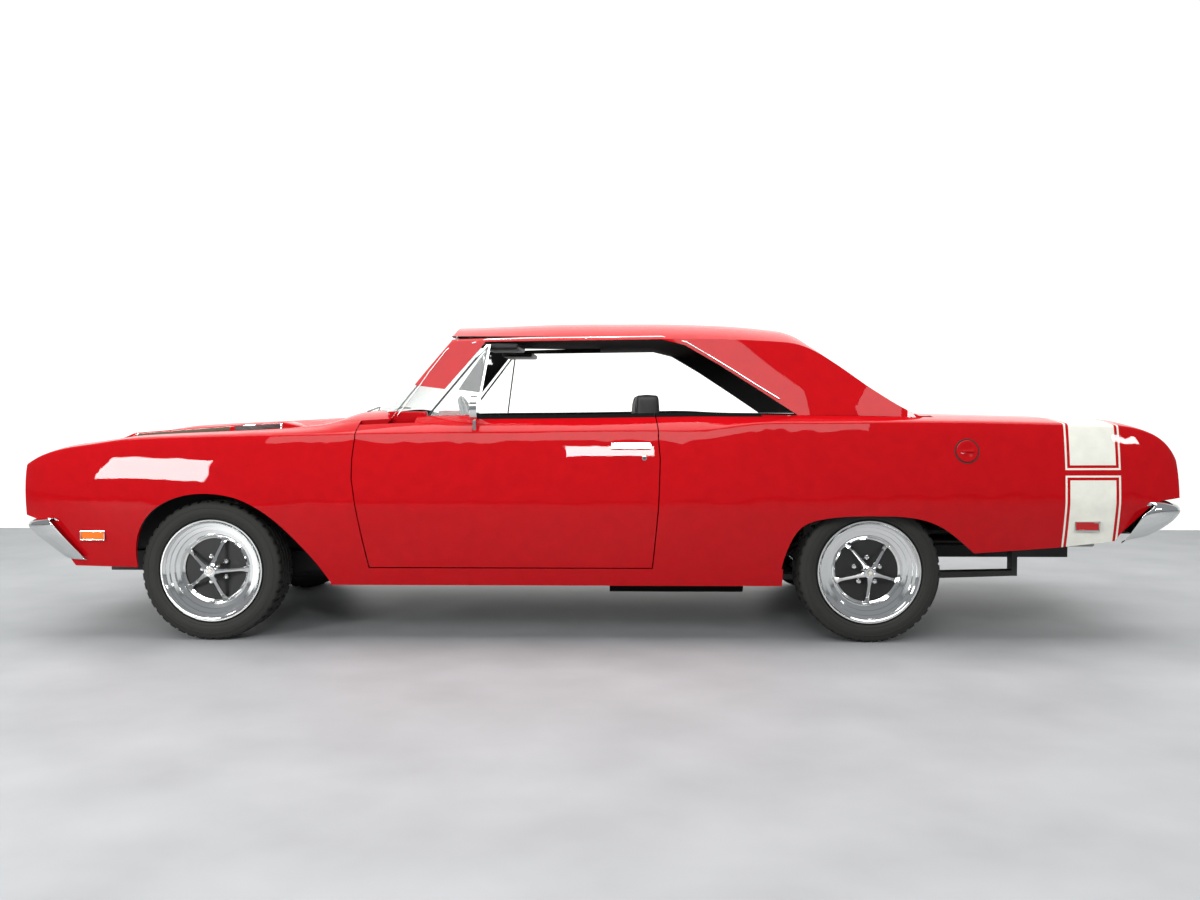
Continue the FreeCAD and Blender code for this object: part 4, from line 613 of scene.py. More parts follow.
def grain_group():
    """The fine grain and change of tone that many of the finishes share."""
    if GRAIN in bpy.data.node_groups:
        return bpy.data.node_groups[GRAIN]
    group = bpy.data.node_groups.new(GRAIN, "ShaderNodeTree")
    for name, way, kind in (
        ("Place", "INPUT", "Vector"), ("Tone", "INPUT", "Color"), ("Spread", "INPUT", "Float"),
        ("Scale", "INPUT", "Float"), ("Colour", "OUTPUT", "Color"), ("Height", "OUTPUT", "Float"),
    ):
        group.interface.new_socket(name, in_out=way, socket_type="NodeSocket" + kind)
    tree = Tree(group)
    given = tree.add("NodeGroupInput")
    result = tree.add("NodeGroupOutput")
    fine = tree.noise(given.outputs["Place"], given.outputs["Scale"], 3.0)
    wide = tree.noise(given.outputs["Place"], tree.math("DIVIDE", given.outputs["Scale"], 12.0), 3.0)
    shade = tree.math("MULTIPLY", tree.math("SUBTRACT", wide, 0.5), given.outputs["Spread"])
    level = tree.math("ADD", shade, 1.0)
    scale = tree.add("ShaderNodeVectorMath", operation="SCALE")
    tree.link(given.outputs["Tone"], scale.inputs[0])
    tree.link(level, scale.inputs["Scale"])
    tree.link(scale.outputs[0], result.inputs["Colour"])
    tree.link(fine, result.inputs["Height"])
    return group


def grained(tree, shader, colour, scale, strength, spread=0.4, distance=0.001):
    """Places the grain group and feeds the shader's colour and normal from it."""
    grain = tree.add("ShaderNodeGroup", node_tree=grain_group())
    tree.set(grain, Place=tree.place(), Scale=scale, Spread=spread, Tone=colour)
    tree.set(shader, Base_Color=grain.outputs["Colour"])
    tree.set(shader, Normal=tree.bump(grain.outputs["Height"], strength, distance))


def paint_material(name, striped, belted=False):
    """Red paint under a clear coat, with the tail stripe or the window's rubber where a panel has them."""
    material, tree, shader = new_material(name, colours().paint, 0.5)
    colour = colours().paint
    if striped:
        colour = tree.mix(stripe_mask(tree, tree.place()), colour, colours().stripe)
    if belted:
        x, y, z = tree.axes(tree.place())
        near = tree.math("LESS_THAN", tree.math("ABSOLUTE", y), SEAL_REACH)
        above = tree.math("GREATER_THAN", z, SEAL_HEIGHT)
        seal = tree.math("MULTIPLY", tree.math("MULTIPLY", near, above), tree.between(x, *SEAL_ENDS))
        colour = tree.mix(seal, colour, (0.008, 0.008, 0.008))
        coat = tree.math("SUBTRACT", COAT, tree.math("MULTIPLY", seal, COAT))
        tree.set(shader, Coat_Weight=coat)
    grained(tree, shader, colour, scale=240.0, strength=0.02, spread=0.25, distance=0.0003)
    tree.set(shader, Coat_Roughness=0.015, Coat_IOR=1.35, Specular_IOR_Level=0.0)
    if not belted:
        tree.set(shader, Coat_Weight=COAT)
    return material


def wheel_material():
    """Chrome with black pockets between the spokes."""
    material, tree, shader = new_material("wheel_chrome", colours().chrome, 0.07, 1.0)
    x, y, z = tree.axes(tree.place())
    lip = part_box("tyre_front_right")[1][1] - LIP_INSET
    deep = tree.math("LESS_THAN", tree.math("ABSOLUTE", y), lip - POCKET_DEPTH)
    black = None
    for axle, height in AXLES.values():
        over = tree.math("SUBTRACT", x, axle)
        up = tree.math("SUBTRACT", z, height)
        reach = tree.math("ADD", tree.math("MULTIPLY", over, over), tree.math("MULTIPLY", up, up))
        near = tree.math("LESS_THAN", reach, POCKET_RADIUS ** 2)
        black = near if black is None else tree.math("MAXIMUM", black, near)
    mask = tree.math("MULTIPLY", deep, black)
    rough = tree.math("MAXIMUM", tree.math("MULTIPLY", mask, 0.5), 0.07)
    tree.set(shader, Base_Color=tree.mix(mask, colours().chrome, (0.006, 0.006, 0.006)), Roughness=rough)
    tree.set(shader, Metallic=tree.math("SUBTRACT", 1.0, mask))
    return material


def chrome_material():
    material, tree, shader = new_material("chrome", colours().chrome, 0.06, 1.0)
    smear = tree.noise(tree.place(), 14.0, 4.0)
    tree.set(shader, Roughness=tree.math("MULTIPLY_ADD", smear, 0.06, 0.03))
    return material


def plain(name, colour, roughness, metallic, scale, strength):
    """A finish with fine grain and a little change of tone."""
    material, tree, shader = new_material(name, colour, roughness, metallic)
    grained(tree, shader, colour, scale, strength)
    return material


def two_tone(name, first, second, axis, edge, roughness, metallic=0.0):
    """A finish that changes colour at one place along an axis."""
    material, tree, shader = new_material(name, first, roughness, metallic)
    past = tree.math("GREATER_THAN", tree.axes(tree.place())[axis], edge)
    grained(tree, shader, tree.mix(past, first, second), 90.0, 0.1)
    return material


def glass_material(name, tint, roughness=0.0):
    material, tree, shader = new_material(name, tint, roughness)
    tree.set(shader, Transmission_Weight=1.0, IOR=1.45)
    return material


MATERIALS = {}
# Finishes with fine grain: material name, colour, roughness, metal, scale of the grain and its strength.
GRAINED = {
    "under": ("underbody", (0.010, 0.010, 0.010), 0.8, 0.0, 200.0, 0.4),
    "inlet": ("olive_mesh", (0.085, 0.080, 0.050), 0.55, 0.3, 900.0, 0.5),
    "lining": ("black_lining", (0.010, 0.010, 0.010), 0.9, 0.0, 700.0, 0.3),
    "seal": ("rubber_seal", (0.010, 0.010, 0.010), 0.6, 0.0, 300.0, 0.1),
    "ivory": ("ivory_badge", (0.72, 0.66, 0.50), 0.4, 0.0, 300.0, 0.02),
    "argent": ("argent_grey", (0.16, 0.16, 0.16), 0.35, 0.6, 300.0, 0.05),
    "black": ("black_paint", (0.012, 0.012, 0.012), 0.55, 0.0, 60.0, 0.1),
    "plastic": ("black_plastic", (0.012, 0.012, 0.012), 0.35, 0.0, 600.0, 0.1),
    "iron": ("cast_iron", (0.05, 0.05, 0.05), 0.7, 0.6, 150.0, 0.4),
}


def finish(name):
    """A material by its name, made when it is first used."""
    makers = {
        "paint": lambda: paint_material("body_red", False),
        "striped": lambda: paint_material("tail_red", True, True),
        "door": lambda: paint_material("door_red", False, True),
        "chrome": chrome_material,
        "wheel": wheel_material,
        "marker": lambda: two_tone("marker_lens", (0.85, 0.17, 0.006), (0.45, 0.004, 0.004), 0, 0.0, 0.12),
        "pipe": lambda: two_tone("pipe_steel", (0.02, 0.018, 0.016), (0.55, 0.54, 0.52), 0, 1.93, 0.28, 0.9),
        "nose": lambda: two_tone("nose_red", (0.02, 0.02, 0.02), tuple(colours().paint), 2, 0.735, 0.3),
        "vinyl": lambda: plain("black_vinyl", colours().vinyl, 0.5, 0.0, 420.0, 0.35),
        "rubber": lambda: plain("tyre_rubber", colours().rubber, 0.72, 0.0, 300.0, 0.15),
        "glass": lambda: glass_material("window_glass", (0.93, 0.97, 0.96)),
        "red_lens": lambda: glass_material("red_lens", (0.6, 0.01, 0.01), 0.1),
    }
    if name not in MATERIALS:
        MATERIALS[name] = plain(*GRAINED[name]) if name in GRAINED else makers[name]()
    return MATERIALS[name]


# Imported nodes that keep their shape, with their finish and slot, and the bodies of those not on the chassis.
DRESSED = (
    ("chrome", "bright_trim", ("grille",)),
    ("glass", "window_glass", ("cabin_glass", "vent_glass_left", "vent_glass_right", "headlamps")),
    ("red_lens", "red_lens", ("tail_lamps",)),
    ("marker", "amber_lens", ("side_markers",)),
    ("vinyl", "black_vinyl", ("package_shelf", "dashboard_and_column")),
    ("plastic", "black_plastic", ("steering_wheel",)),
    ("iron", "cast_iron", ("engine_and_gearbox", "knuckle_left", "knuckle_right")),
    ("pipe", "exhaust_steel", ("exhaust",)),
    ("under", "black_paint", ("floor_pan",)),
    ("black", "black_paint", ("engine_bay",)),
    ("nose", "black_paint", ("nose_panel",)),
    ("black", "black_paint", ("radiator", "rear_suspension", "front_frame", "fuel_tank")),
)
MOVING = {
    "vent_glass_left": "door_left", "vent_glass_right": "door_right", "steering_wheel": "steering_wheel",
    "knuckle_left": "knuckle_left", "knuckle_right": "knuckle_right",
}


# Operators, one for each group of pieces.
class CAR_OT_panels(bpy.types.Operator):
    """Give the body panels smooth red paint, dark inner faces and the tail its stripe"""

    bl_idname = "car.panels"
    bl_label = "Body panels"

    def execute(self, context):
        for body, names in PAINTED.items():
            for node in names:
                tail = node.startswith("quarter") or node in ("trunk_lid", "tail_panel")
                paint = "striped" if tail else "door" if node.startswith("door") else "paint"
                piece = dressed(node, body, finish(paint))
                flat = node in ("hood", "trunk_lid", "roof", "rear_deck", "cowl_panel")
                lined = node == "roof" or node.startswith("door")
                piece.data.materials.append(finish("lining" if lined else "under"))
                inner_faces(piece, faces_down if flat else faces_in)
                if node == "roof":
                    crowned(piece)
                if node in ("hood", "cowl_panel") or node.startswith("front_fender"):
                    hollowed(piece)
                if node == "sills":
                    lengthened(piece)
        return {"FINISHED"}


class CAR_OT_fittings(bpy.types.Operator):
    """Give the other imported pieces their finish"""

    bl_idname = "car.fittings"
    bl_label = "Fittings"

    def execute(self, context):
        for material, slot, names in DRESSED:
            for node in names:
                piece = dressed(node, MOVING.get(node, "chassis"), finish(material))
                if node == "cabin_glass":
                    crowned(piece)
                if node == "nose_panel":
                    hollowed(piece)
        for name, side in SIDES:
            piece = dressed("door_trim_" + name, "door_" + name, finish("chrome"))
            piece.data.materials.append(finish("seal"))
            inner_faces(piece, in_vent_rubber)
        return {"FINISHED"}


def tyre_section(half, low, high):
    """The tyre's whole section, from the inner bead over the tread to the outer bead."""
    rise = high - low
    outer = [(y * half, low + z * rise) for y, z in SIDEWALL_SHARES]
    tread = []
    for place in TREAD_GROOVES:
        for edge, depth in ((1.0, 0.0), (0.6, GROOVE_DEPTH), (-0.6, GROOVE_DEPTH), (-1.0, 0.0)):
            tread.append(((place + GROOVE_HALF * edge) * half, high - depth))
    half_section = outer + tread
    return half_section + [(-y, z) for y, z in reversed(half_section)]


def tyre_piece(end, name, side):
    """A tyre with ribbed sidewalls, four grooves and notched shoulders."""
    axle, radius = AXLES[end]
    node = "tyre_%s_%s" % (end, name)
    low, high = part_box(node)
    half = (high[1] - low[1]) / 2
    centre = (axle, (high[1] + low[1]) / 2, radius)
    piece = spun(tyre_section(half, RIM_RADIUS, radius), centre, TYRE_STEPS)
    bpy.ops.object.mode_set(mode="EDIT")
    bpy.ops.mesh.select_mode(type="FACE")
    bpy.ops.mesh.select_all(action="DESELECT")
    object_mode()
    for face in piece.data.polygons:
        across = abs(face.center.y - centre[1]) / half
        reach = math.hypot(face.center.x - axle, face.center.z - radius)
        angle = math.atan2(face.center.z - radius, face.center.x - axle)
        step = int(round((angle + math.pi) / (2 * math.pi) * TYRE_STEPS))
        face.select = any(
            low < across < high and reach > radius - near and step % every == turn
            for low, high, near, every, turn in NOTCHES
        )
    bpy.ops.object.mode_set(mode="EDIT")
    bpy.ops.mesh.extrude_region_shrink_fatten(TRANSFORM_OT_shrink_fatten={"value": -NOTCH_DEPTH})
    object_mode()
    done(piece, node + "_tread", "wheel_%s_%s" % (end, name), "tyre_rubber", "rubber", outward=False)
    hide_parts(node)


def joined(pieces):
    """One object from several."""
    choose(*pieces)
    bpy.ops.object.join()
    return bpy.context.object


def turned_copy(piece, centre, angle):
    """A copy with its own mesh, turned about a line across the car."""
    copy = piece.copy()
    copy.data = piece.data.copy()
    bpy.context.scene.collection.objects.link(copy)
    middle = Matrix.Translation(Vector(centre))
    copy.data.transform(middle @ Matrix.Rotation(angle, 4, "Y") @ middle.inverted())
    return copy


def spoke_piece(axle, lip, height, side):
    """One slim spoke that rises from the ring to the cap, with flared ends."""
    previous = Vector((axle, lip - side * SPOKE_FOOT[1], height + SPOKE_FOOT[0]))
    piece = started(bpy.ops.mesh.primitive_plane_add, SPOKE_SIZE, size=1.0, location=previous)
    edit_all()
    for reach, depth, width in SPOKE_WAY:
        place = Vector((axle, lip - side * depth, height + reach))
        draw_out(place - previous)
        bpy.ops.transform.resize(value=(width, SPOKE_DEEPER, 1.0), center_override=place)
        previous = place
    face_outward()
    bpy.ops.mesh.bevel(offset=SPOKE_EDGE, segments=2, affect="EDGES")
    object_mode()
    return piece


def wheel_piece(end, name, side):
    """A deep stepped rim with five slim spokes, a standing centre cap and its nuts."""
    axle, height = AXLES[end]
    tyre_low, tyre_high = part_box("tyre_%s_%s" % (end, name))
    width = tyre_high[1] - tyre_low[1] - LIP_INSET * 2
    lip = (tyre_high[1] - LIP_INSET) if side > 0 else (tyre_low[1] + LIP_INSET)
    centre = (axle, lip, height)
    inner = tuple((width - short, radius) for short, radius in RIM_INNER)
    parts = [spun(sided(RIM_STEPS + RIM_BACK + inner + RIM_BED, -side), centre, RIM_SIDES)]
    parts.append(spun(sided(CAP_SECTION, side), centre, CAP_SIDES))
    spoke = spoke_piece(axle, lip, height, side)
    lug_centre = (axle, lip, height + LUG_CIRCLE)
    lug = spun(sided(LUG_SECTION, side), lug_centre, LUG_SIDES)
    start = math.radians(SPOKE_ANGLES[end])
    step = 2 * math.pi / SPOKES
    for number in range(SPOKES):
        parts.append(turned_copy(spoke, centre, start + step * number))
        parts.append(turned_copy(lug, centre, start + step * (number + 0.5)))
    for template in (spoke, lug):
        bpy.data.objects.remove(template)
    body = "wheel_%s_%s" % (end, name)
    done(joined(parts), body + "_rim", body, "bright_trim", "wheel", outward=False)
    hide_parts(body)
    badge = spun(sided(BADGE_SECTION, side), centre, BADGE_SIDES)
    done(badge, body + "_badge", body, "bright_trim", "ivory")


class CAR_OT_wheels(bpy.types.Operator):
    """Build the five spoke wheels and their treaded tyres"""

    bl_idname = "car.wheels"
    bl_label = "Wheels"

    def execute(self, context):
        for end in AXLES:
            for name, side in SIDES:
                wheel_piece(end, name, side)
                tyre_piece(end, name, side)
        return {"FINISHED"}


SEAT_VOXEL = 0.017
SEAT_PRESSURE = 0.8
SEAT_SWELL = 0.016
SEAT_FRAMES = 20
SEAT_ANGLE = math.radians(60)
# How much smaller a cover starts, as a share of its swell.
SEAT_TIGHT = 0.7
FLUTE_PITCH = 0.052
FLUTE_DEPTH = 0.0035
# How much a face has to look up or forwards to be fluted.
FLUTE_FACING = 0.75


def subdivided(piece, levels):
    """Smooths a form by subdivision."""
    smoother = piece.modifiers.new("smoother", "SUBSURF")
    smoother.levels = levels
    smoother.render_levels = levels
    choose(piece)
    bpy.ops.object.modifier_apply(modifier="smoother")


def puffed(piece, pressure, limit):
    """Swells a closed form like a stuffed cover, no further than a limit."""
    choose(piece)
    piece.data.remesh_voxel_size = SEAT_VOXEL
    bpy.ops.object.voxel_remesh()
    rest = [vertex.co.copy() for vertex in piece.data.vertices]
    cloth = piece.modifiers.new("cover", "CLOTH")
    cloth.settings.use_pressure = True
    cloth.settings.uniform_pressure_force = pressure
    cloth.settings.effector_weights.gravity = 0.0
    for step in range(SEAT_FRAMES):
        bpy.context.scene.frame_set(step + 1)
    bpy.ops.object.modifier_apply(modifier="cover")
    bpy.context.scene.frame_set(1)
    for vertex, start in zip(piece.data.vertices, rest):
        move = vertex.co - start
        if move.length > limit:
            vertex.co = start + move.normalized() * limit


def fluted(piece):
    """Presses sewn channels into the faces that carry a person."""
    for vertex in piece.data.vertices:
        if max(vertex.normal.z, -vertex.normal.x) > FLUTE_FACING:
            wave = abs(math.sin(math.pi * vertex.co.y / FLUTE_PITCH))
            vertex.co -= vertex.normal * FLUTE_DEPTH * (1.0 - wave) ** 2


class CAR_OT_seats(bpy.types.Operator):
    """Stuff the seats and their headrests"""

    bl_idname = "car.seats"
    bl_label = "Seats"

    def execute(self, context):
        piece = merged_copy("seats", "seat_cover")
        choose(piece)
        edit_all()
        bpy.ops.mesh.separate(type="LOOSE")
        object_mode()
        covers = [item for item in context.scene.objects if item.name.startswith("seat_cover")]
        for number, cover in enumerate(covers):
            choose(cover)
            edit_all()
            bpy.ops.transform.shrink_fatten(value=-SEAT_SWELL * SEAT_TIGHT)
            object_mode()
            puffed(cover, SEAT_PRESSURE, SEAT_SWELL)
            subdivided(cover, 1)
            fluted(cover)
            done(cover, "seat_cover_%d" % number, "chassis", "black_vinyl", "vinyl", angle=SEAT_ANGLE)
        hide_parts("seats")
        return {"FINISHED"}


def surface_line(node, points, side, out):
    """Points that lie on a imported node, a little way out from it."""
    places = []
    for x, z in points:
        place = look(node, x, z, side)[0]
        places.append(Vector((place.x, place.y + side * out, place.z)))
    return places


# Side lines of the bright trim, as places along the car and heights.
DRIP_RAIL = (
    (-0.545, 1.286), (-0.480, 1.304), (-0.300, 1.309), (0.000, 1.312), (0.291, 1.316), (0.400, 1.290),
    (0.500, 1.230), (0.600, 1.168), (0.700, 1.103), (0.800, 1.041),
)
RAIL_RADIUS = 0.0035
RAIL_OUT = 0.002
RAIL_SIDES = 12
PILLAR_TRIM = ((-0.765, 1.106), (-0.733, 1.156), (-0.660, 1.254), (-0.612, 1.300))
PILLAR_FOOT = (-0.862, 0.700, 0.968)
PILLAR_RADIUS = 0.003
PILLAR_OUT = 0.001
# The pillar's painted foot: its low and high corner, as places along the car, across it and heights.
PILLAR_BASE = ((-0.905, 0.664, 0.925), (-0.735, 0.694, 0.986))
# Side markers: place along the car, height and the frame's wall.
MARKERS = {"front": (-2.142, 0.4575, 0.004), "rear": (2.067, 0.505, 0.006)}
MARKER_SIZE = (0.106, 0.041)
MARKER_DEPTH = 0.008
MARKER_SINK = 0.006
FILLER = (1.560, 0.821)
FILLER_SIDES = 64
# The filler's seat and cap, as height over the panel and share of the cap's radius.
FILLER_RADIUS = 0.047
FILLER_SEAT = ((-0.004, 0.0), (-0.004, 1.10), (0.0015, 1.10), (0.0015, 1.03), (0.0005, 1.0), (0.0005, 0.0))
FILLER_CAP = (
    (0.0006, 0.0), (0.0006, 0.97), (0.004, 0.97), (0.006, 0.93), (0.007, 0.60), (0.005, 0.50), (0.005, 0.0),
)
FILLER_TOP = 0.007
FILLER_GRIP = ((-0.027, -0.006, -0.005), (0.027, 0.005, 0.005))
LOCK = (0.211, 0.791)
LOCK_SECTION = ((0.0, 0.0), (0.0, 0.0105), (0.004, 0.0100), (0.006, 0.0075), (0.006, 0.0))
LOCK_SIDES = 32
# Wiper arms: their pivots across the car, and the way from pivot over the bend to the tip.
WIPER_PIVOTS = (-0.48, 0.06)
WIPER_RADIUS = 0.004
WIPER_WAY = ((-1.040, 0.0, 0.985), (-1.035, 0.21, 1.0025), (-1.030, 0.42, 1.000))


class CAR_OT_brightwork(bpy.types.Operator):
    """Add the rails, pillar feet, marker frames, lock buttons, filler cap and wipers"""

    bl_idname = "car.brightwork"
    bl_label = "Brightwork"

    def execute(self, context):
        for name, side in SIDES:
            rail = bar(surface_line("roof", DRIP_RAIL, side, RAIL_OUT), RAIL_RADIUS, vertices=RAIL_SIDES)
            bright(rail, "drip_rail_" + name)
            foot = Vector((PILLAR_FOOT[0], side * PILLAR_FOOT[1], PILLAR_FOOT[2]))
            way = [foot] + surface_line("roof", PILLAR_TRIM, side, PILLAR_OUT)
            pillar = bar(way, PILLAR_RADIUS, vertices=RAIL_SIDES)
            bright(pillar, "pillar_trim_" + name)
            base = side_slab(*PILLAR_BASE, side, 0.006)
            done(base, "pillar_foot_" + name, "chassis", "body_paint", "paint")
            for end, (x, z, wall) in MARKERS.items():
                place = look("side_markers", x, z, side)[0]
                centre = (x, place.y - side * MARKER_SINK, z)
                rim = window_frame(centre, *MARKER_SIZE, side, wall, MARKER_DEPTH)
                bright(rim, "marker_frame_%s_%s" % (end, name))
            door = "door_" + name
            button = spun(sided(LOCK_SECTION, side), look(door, *LOCK, side)[0], LOCK_SIDES)
            bright(button, "lock_" + name, door)
        self.filler_cap()
        self.wipers()
        return {"FINISHED"}

    def filler_cap(self):
        """A ringed cap with a grip bar, on the left only."""
        place, axis = look("quarter_panel_left", *FILLER, LEFT)
        for name, shares, paint in (("filler_seat", FILLER_SEAT, "seal"), ("filler_cap", FILLER_CAP, "paint")):
            section = [(out, share * FILLER_RADIUS) for out, share in shares]
            done(spun(section, place, FILLER_SIDES, axis), name, "chassis", "body_paint", paint)
        middle = place + axis * FILLER_TOP
        grip = slab(*[middle + Vector(corner) for corner in FILLER_GRIP], 0.002)
        done(grip, "filler_grip", "chassis", "body_paint", "paint")

    def wipers(self):
        """Two parked wiper arms."""
        for number, pivot in enumerate(WIPER_PIVOTS):
            way = [Vector((x, pivot + y, z)) for x, y, z in WIPER_WAY]
            arm = bar(way, WIPER_RADIUS, turn=(math.pi / 2, 0.0, 0.0))
            done(arm, "wiper_arm_%d" % number, "chassis", "bright_trim", "argent")


def leaned(piece, line, start):
    """Lifts a straight piece along a line, so that it follows the line's slope."""
    for vertex in piece.data.vertices:
        vertex.co.z += along(line, vertex.co.x) - along(line, start)


# The bumpers' plan from the middle to the end: place across the car and how far the blade has turned there, and
# each bumper's places along the car.
BUMPER_ACROSS = (
    (0.0, 0.0), (0.25, 0.0), (0.50, 0.0), (0.68, 0.0), (0.76, 0.0), (0.815, 0.0), (0.845, 0.05), (0.860, 0.18),
    (0.866, 0.50), (0.868, 1.0),
)
BUMPER_FACES = {
    "front": (-2.490, -2.488, -2.480, -2.467, -2.456, -2.438, -2.412, -2.378, -2.330, -2.250),
    "rear": (2.492, 2.492, 2.491, 2.488, 2.484, 2.472, 2.448, 2.412, 2.360, 2.300),
}
# Each bumper's section from its top to its foot: depth behind its face, height, and height at its end.
BUMPER_SECTIONS = {
    "front": (
        (0.085, 0.520, 0.520), (0.070, 0.538, 0.540), (0.010, 0.522, 0.522), (0.0, 0.508, 0.508),
        (0.0, 0.490, 0.490), (0.016, 0.476, 0.476), (0.020, 0.464, 0.464), (0.070, 0.420, 0.420),
        (0.130, 0.366, 0.366), (0.150, 0.350, 0.350), (0.172, 0.350, 0.350),
    ),
    "rear": (
        (0.095, 0.590, 0.590), (0.085, 0.606, 0.600), (0.061, 0.612, 0.598), (0.010, 0.594, 0.575),
        (0.0, 0.578, 0.556), (0.0, 0.560, 0.540), (0.018, 0.540, 0.520), (0.024, 0.528, 0.505),
        (0.080, 0.484, 0.460), (0.124, 0.460, 0.432), (0.150, 0.456, 0.430),
    ),
}
# The section's row at the top of the blade's upright face.
FACE_ROW = 3
# Where each bumper's end is cut off, as heights and places along the car.
BUMPER_CUTS = {
    "front": ((0.353, -2.186), (0.496, -2.293), (0.547, -2.344)),
    "rear": ((0.429, 2.218), (0.556, 2.290), (0.601, 2.365)),
}
BUMPER_WALL = 0.004
# How much narrower the blade gets with its depth.
BUMPER_TAPER = 0.3
# The low and high corners of each bumper's arms.
BUMPER_ARMS = {
    "front": ((-2.420, 0.360, 0.430), (-2.235, 0.410, 0.480)),
    "rear": ((2.300, 0.360, 0.500), (2.440, 0.410, 0.540)),
}


class CAR_OT_bumpers(bpy.types.Operator):
    """Build the two wrapped bumpers and their arms"""

    bl_idname = "car.bumpers"
    bl_label = "Bumpers"

    def execute(self, context):
        for end, faces in BUMPER_FACES.items():
            blade = self.blade(end, [(y, x, turn) for (y, turn), x in zip(BUMPER_ACROSS, faces)])
            done(blade, end + "_bumper", "chassis", "bright_trim", "chrome", outward=False)
            if end == "front":
                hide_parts("bumpers")
            for name, side in SIDES:
                arm = side_slab(*BUMPER_ARMS[end], side, 0.003)
                done(arm, "bumper_arm_%s_%s" % (end, name), "chassis", "black_paint", "black")
        return {"FINISHED"}

    def blade(self, end, plan):
        """A grid laid along the plan and the section, with a wall's thickness."""
        section = BUMPER_SECTIONS[end]
        columns = [(-y, x, turn) for y, x, turn in reversed(plan)] + plan[1:]
        across, down = len(columns) - 1, len(section) - 1
        piece = started(
            bpy.ops.mesh.primitive_grid_add, x_subdivisions=across, y_subdivisions=down, size=1.0,
            location=(0.0, 0.0, 0.0),
        )
        way = 1.0 if end == "front" else -1.0
        for vertex in piece.data.vertices:
            y, x, turn = columns[round((vertex.co.x + 0.5) * across)]
            depth, middle, tip = section[round((vertex.co.y + 0.5) * down)]
            height = middle + (tip - middle) * turn
            face = (x + way * depth) * (1.0 - turn) + along(BUMPER_CUTS[end], height) * turn
            vertex.co = (face, y * (1.0 - BUMPER_TAPER * depth), height)
        edit_all()
        face_outward()
        object_mode()
        level = section[FACE_ROW][1]
        front_face = min(piece.data.polygons, key=lambda item: abs(item.center.y) + abs(item.center.z - level))
        if front_face.normal.x * way > 0:
            piece.data.flip_normals()
        choose(piece)
        piece.modifiers.new("wall", "SOLIDIFY").thickness = BUMPER_WALL
        bpy.ops.object.modifier_apply(modifier="wall")
        subdivided(piece, 2)
        return piece


# The strips on a scoop's sides: name, ends, depths under the top line, how far they stand out, finish and slot.
SCOOP_STRIPS = (
    ("inlet", INLET, (0.006, 0.026), 0.0015, "inlet", "black_paint"),
    ("edge", (INLET[0] - 0.006, INLET[0]), (0.002, 0.028), 0.003, "chrome", "bright_trim"),
    ("louvre", LOUVRE, (0.007, 0.028), 0.0015, "seal", "black_paint"),
    ("rail", LOUVRE, (0.003, 0.007), 0.003, "chrome", "bright_trim"),
    ("rail", LOUVRE, (0.028, 0.031), 0.003, "chrome", "bright_trim"),
    ("end", (LOUVRE[1], LOUVRE[1] + 0.012), (0.003, 0.031), 0.003, "chrome", "bright_trim"),
)


class CAR_OT_scoops(bpy.types.Operator):
    """Add the hood's two scoops with their inlets and slatted louvres"""

    bl_idname = "car.scoops"
    bl_label = "Scoops"

    def execute(self, context):
        for name, side in SIDES:
            middle = side * SCOOP_MIDDLE
            body = self.scoop(middle)
            done(body, "scoop_" + name, "hood", "body_paint", "paint", "under")
            inner_faces(body, lambda centre, normal: normal.z < -SCOOP_DOWN)
            for number, face in enumerate((LEFT, RIGHT)):
                skin = middle + face * SCOOP_HALF
                for part, *strip in SCOOP_STRIPS:
                    self.strip("scoop_%s_%s_%d" % (part, name, number), skin, face, *strip)
                for slat in range(SLATS):
                    tag = "scoop_slat_%s_%d_%d" % (name, number, slat)
                    low = SLAT_TOP + SLAT_PITCH * slat
                    depths = (low, low + SLAT_WALL)
                    self.strip(tag, skin, face, LOUVRE, depths, SLAT_PROUD, "argent", "bright_trim")
        return {"FINISHED"}

    def scoop(self, middle):
        """One scoop, drawn out from its front edge to its pointed rear."""
        x, top = SCOOP_LINE[0]
        place = Vector((x, middle, top - SCOOP_DEEP / 2))
        piece = started(
            bpy.ops.mesh.primitive_plane_add, (SCOOP_DEEP, SCOOP_HALF * 2, 1.0), size=1.0, location=place,
            rotation=(0.0, math.pi / 2, 0.0),
        )
        edit_all()
        for x, top in SCOOP_LINE[1:]:
            stop = Vector((x, middle, top - SCOOP_DEEP / 2))
            draw_out(stop - place)
            if x > SCOOP_POINT:
                bpy.ops.transform.resize(value=(1.0, SCOOP_NARROW, 1.0), center_override=stop)
            place = stop
        face_outward()
        bpy.ops.mesh.bevel(offset=0.004, segments=3, affect="EDGES")
        object_mode()
        return piece

    def strip(self, name, skin, face, ends, depths, proud, material, slot):
        """A thin strip on the scoop's side, between two depths under its top line."""
        top = along(SCOOP_LINE, ends[0])
        sides = sorted((skin - face * 0.004, skin + face * proud))
        piece = slab((ends[0], sides[0], top - depths[1]), (ends[1], sides[1], top - depths[0]), 0.0006, 2)
        leaned(piece, SCOOP_LINE, ends[0])
        done(piece, name, "hood", slot, material)


# Low and high corners of a visor and of the inside mirror, and the mirror's stalk.
VISOR = ((-0.500, 0.21, 1.262), (-0.345, 0.59, 1.286))
MIRROR = ((-0.560, -0.11, 1.215), (-0.535, 0.11, 1.262))
MIRROR_STALK = ((-0.545, 0.0, 1.25), (-0.560, 0.0, 1.300))


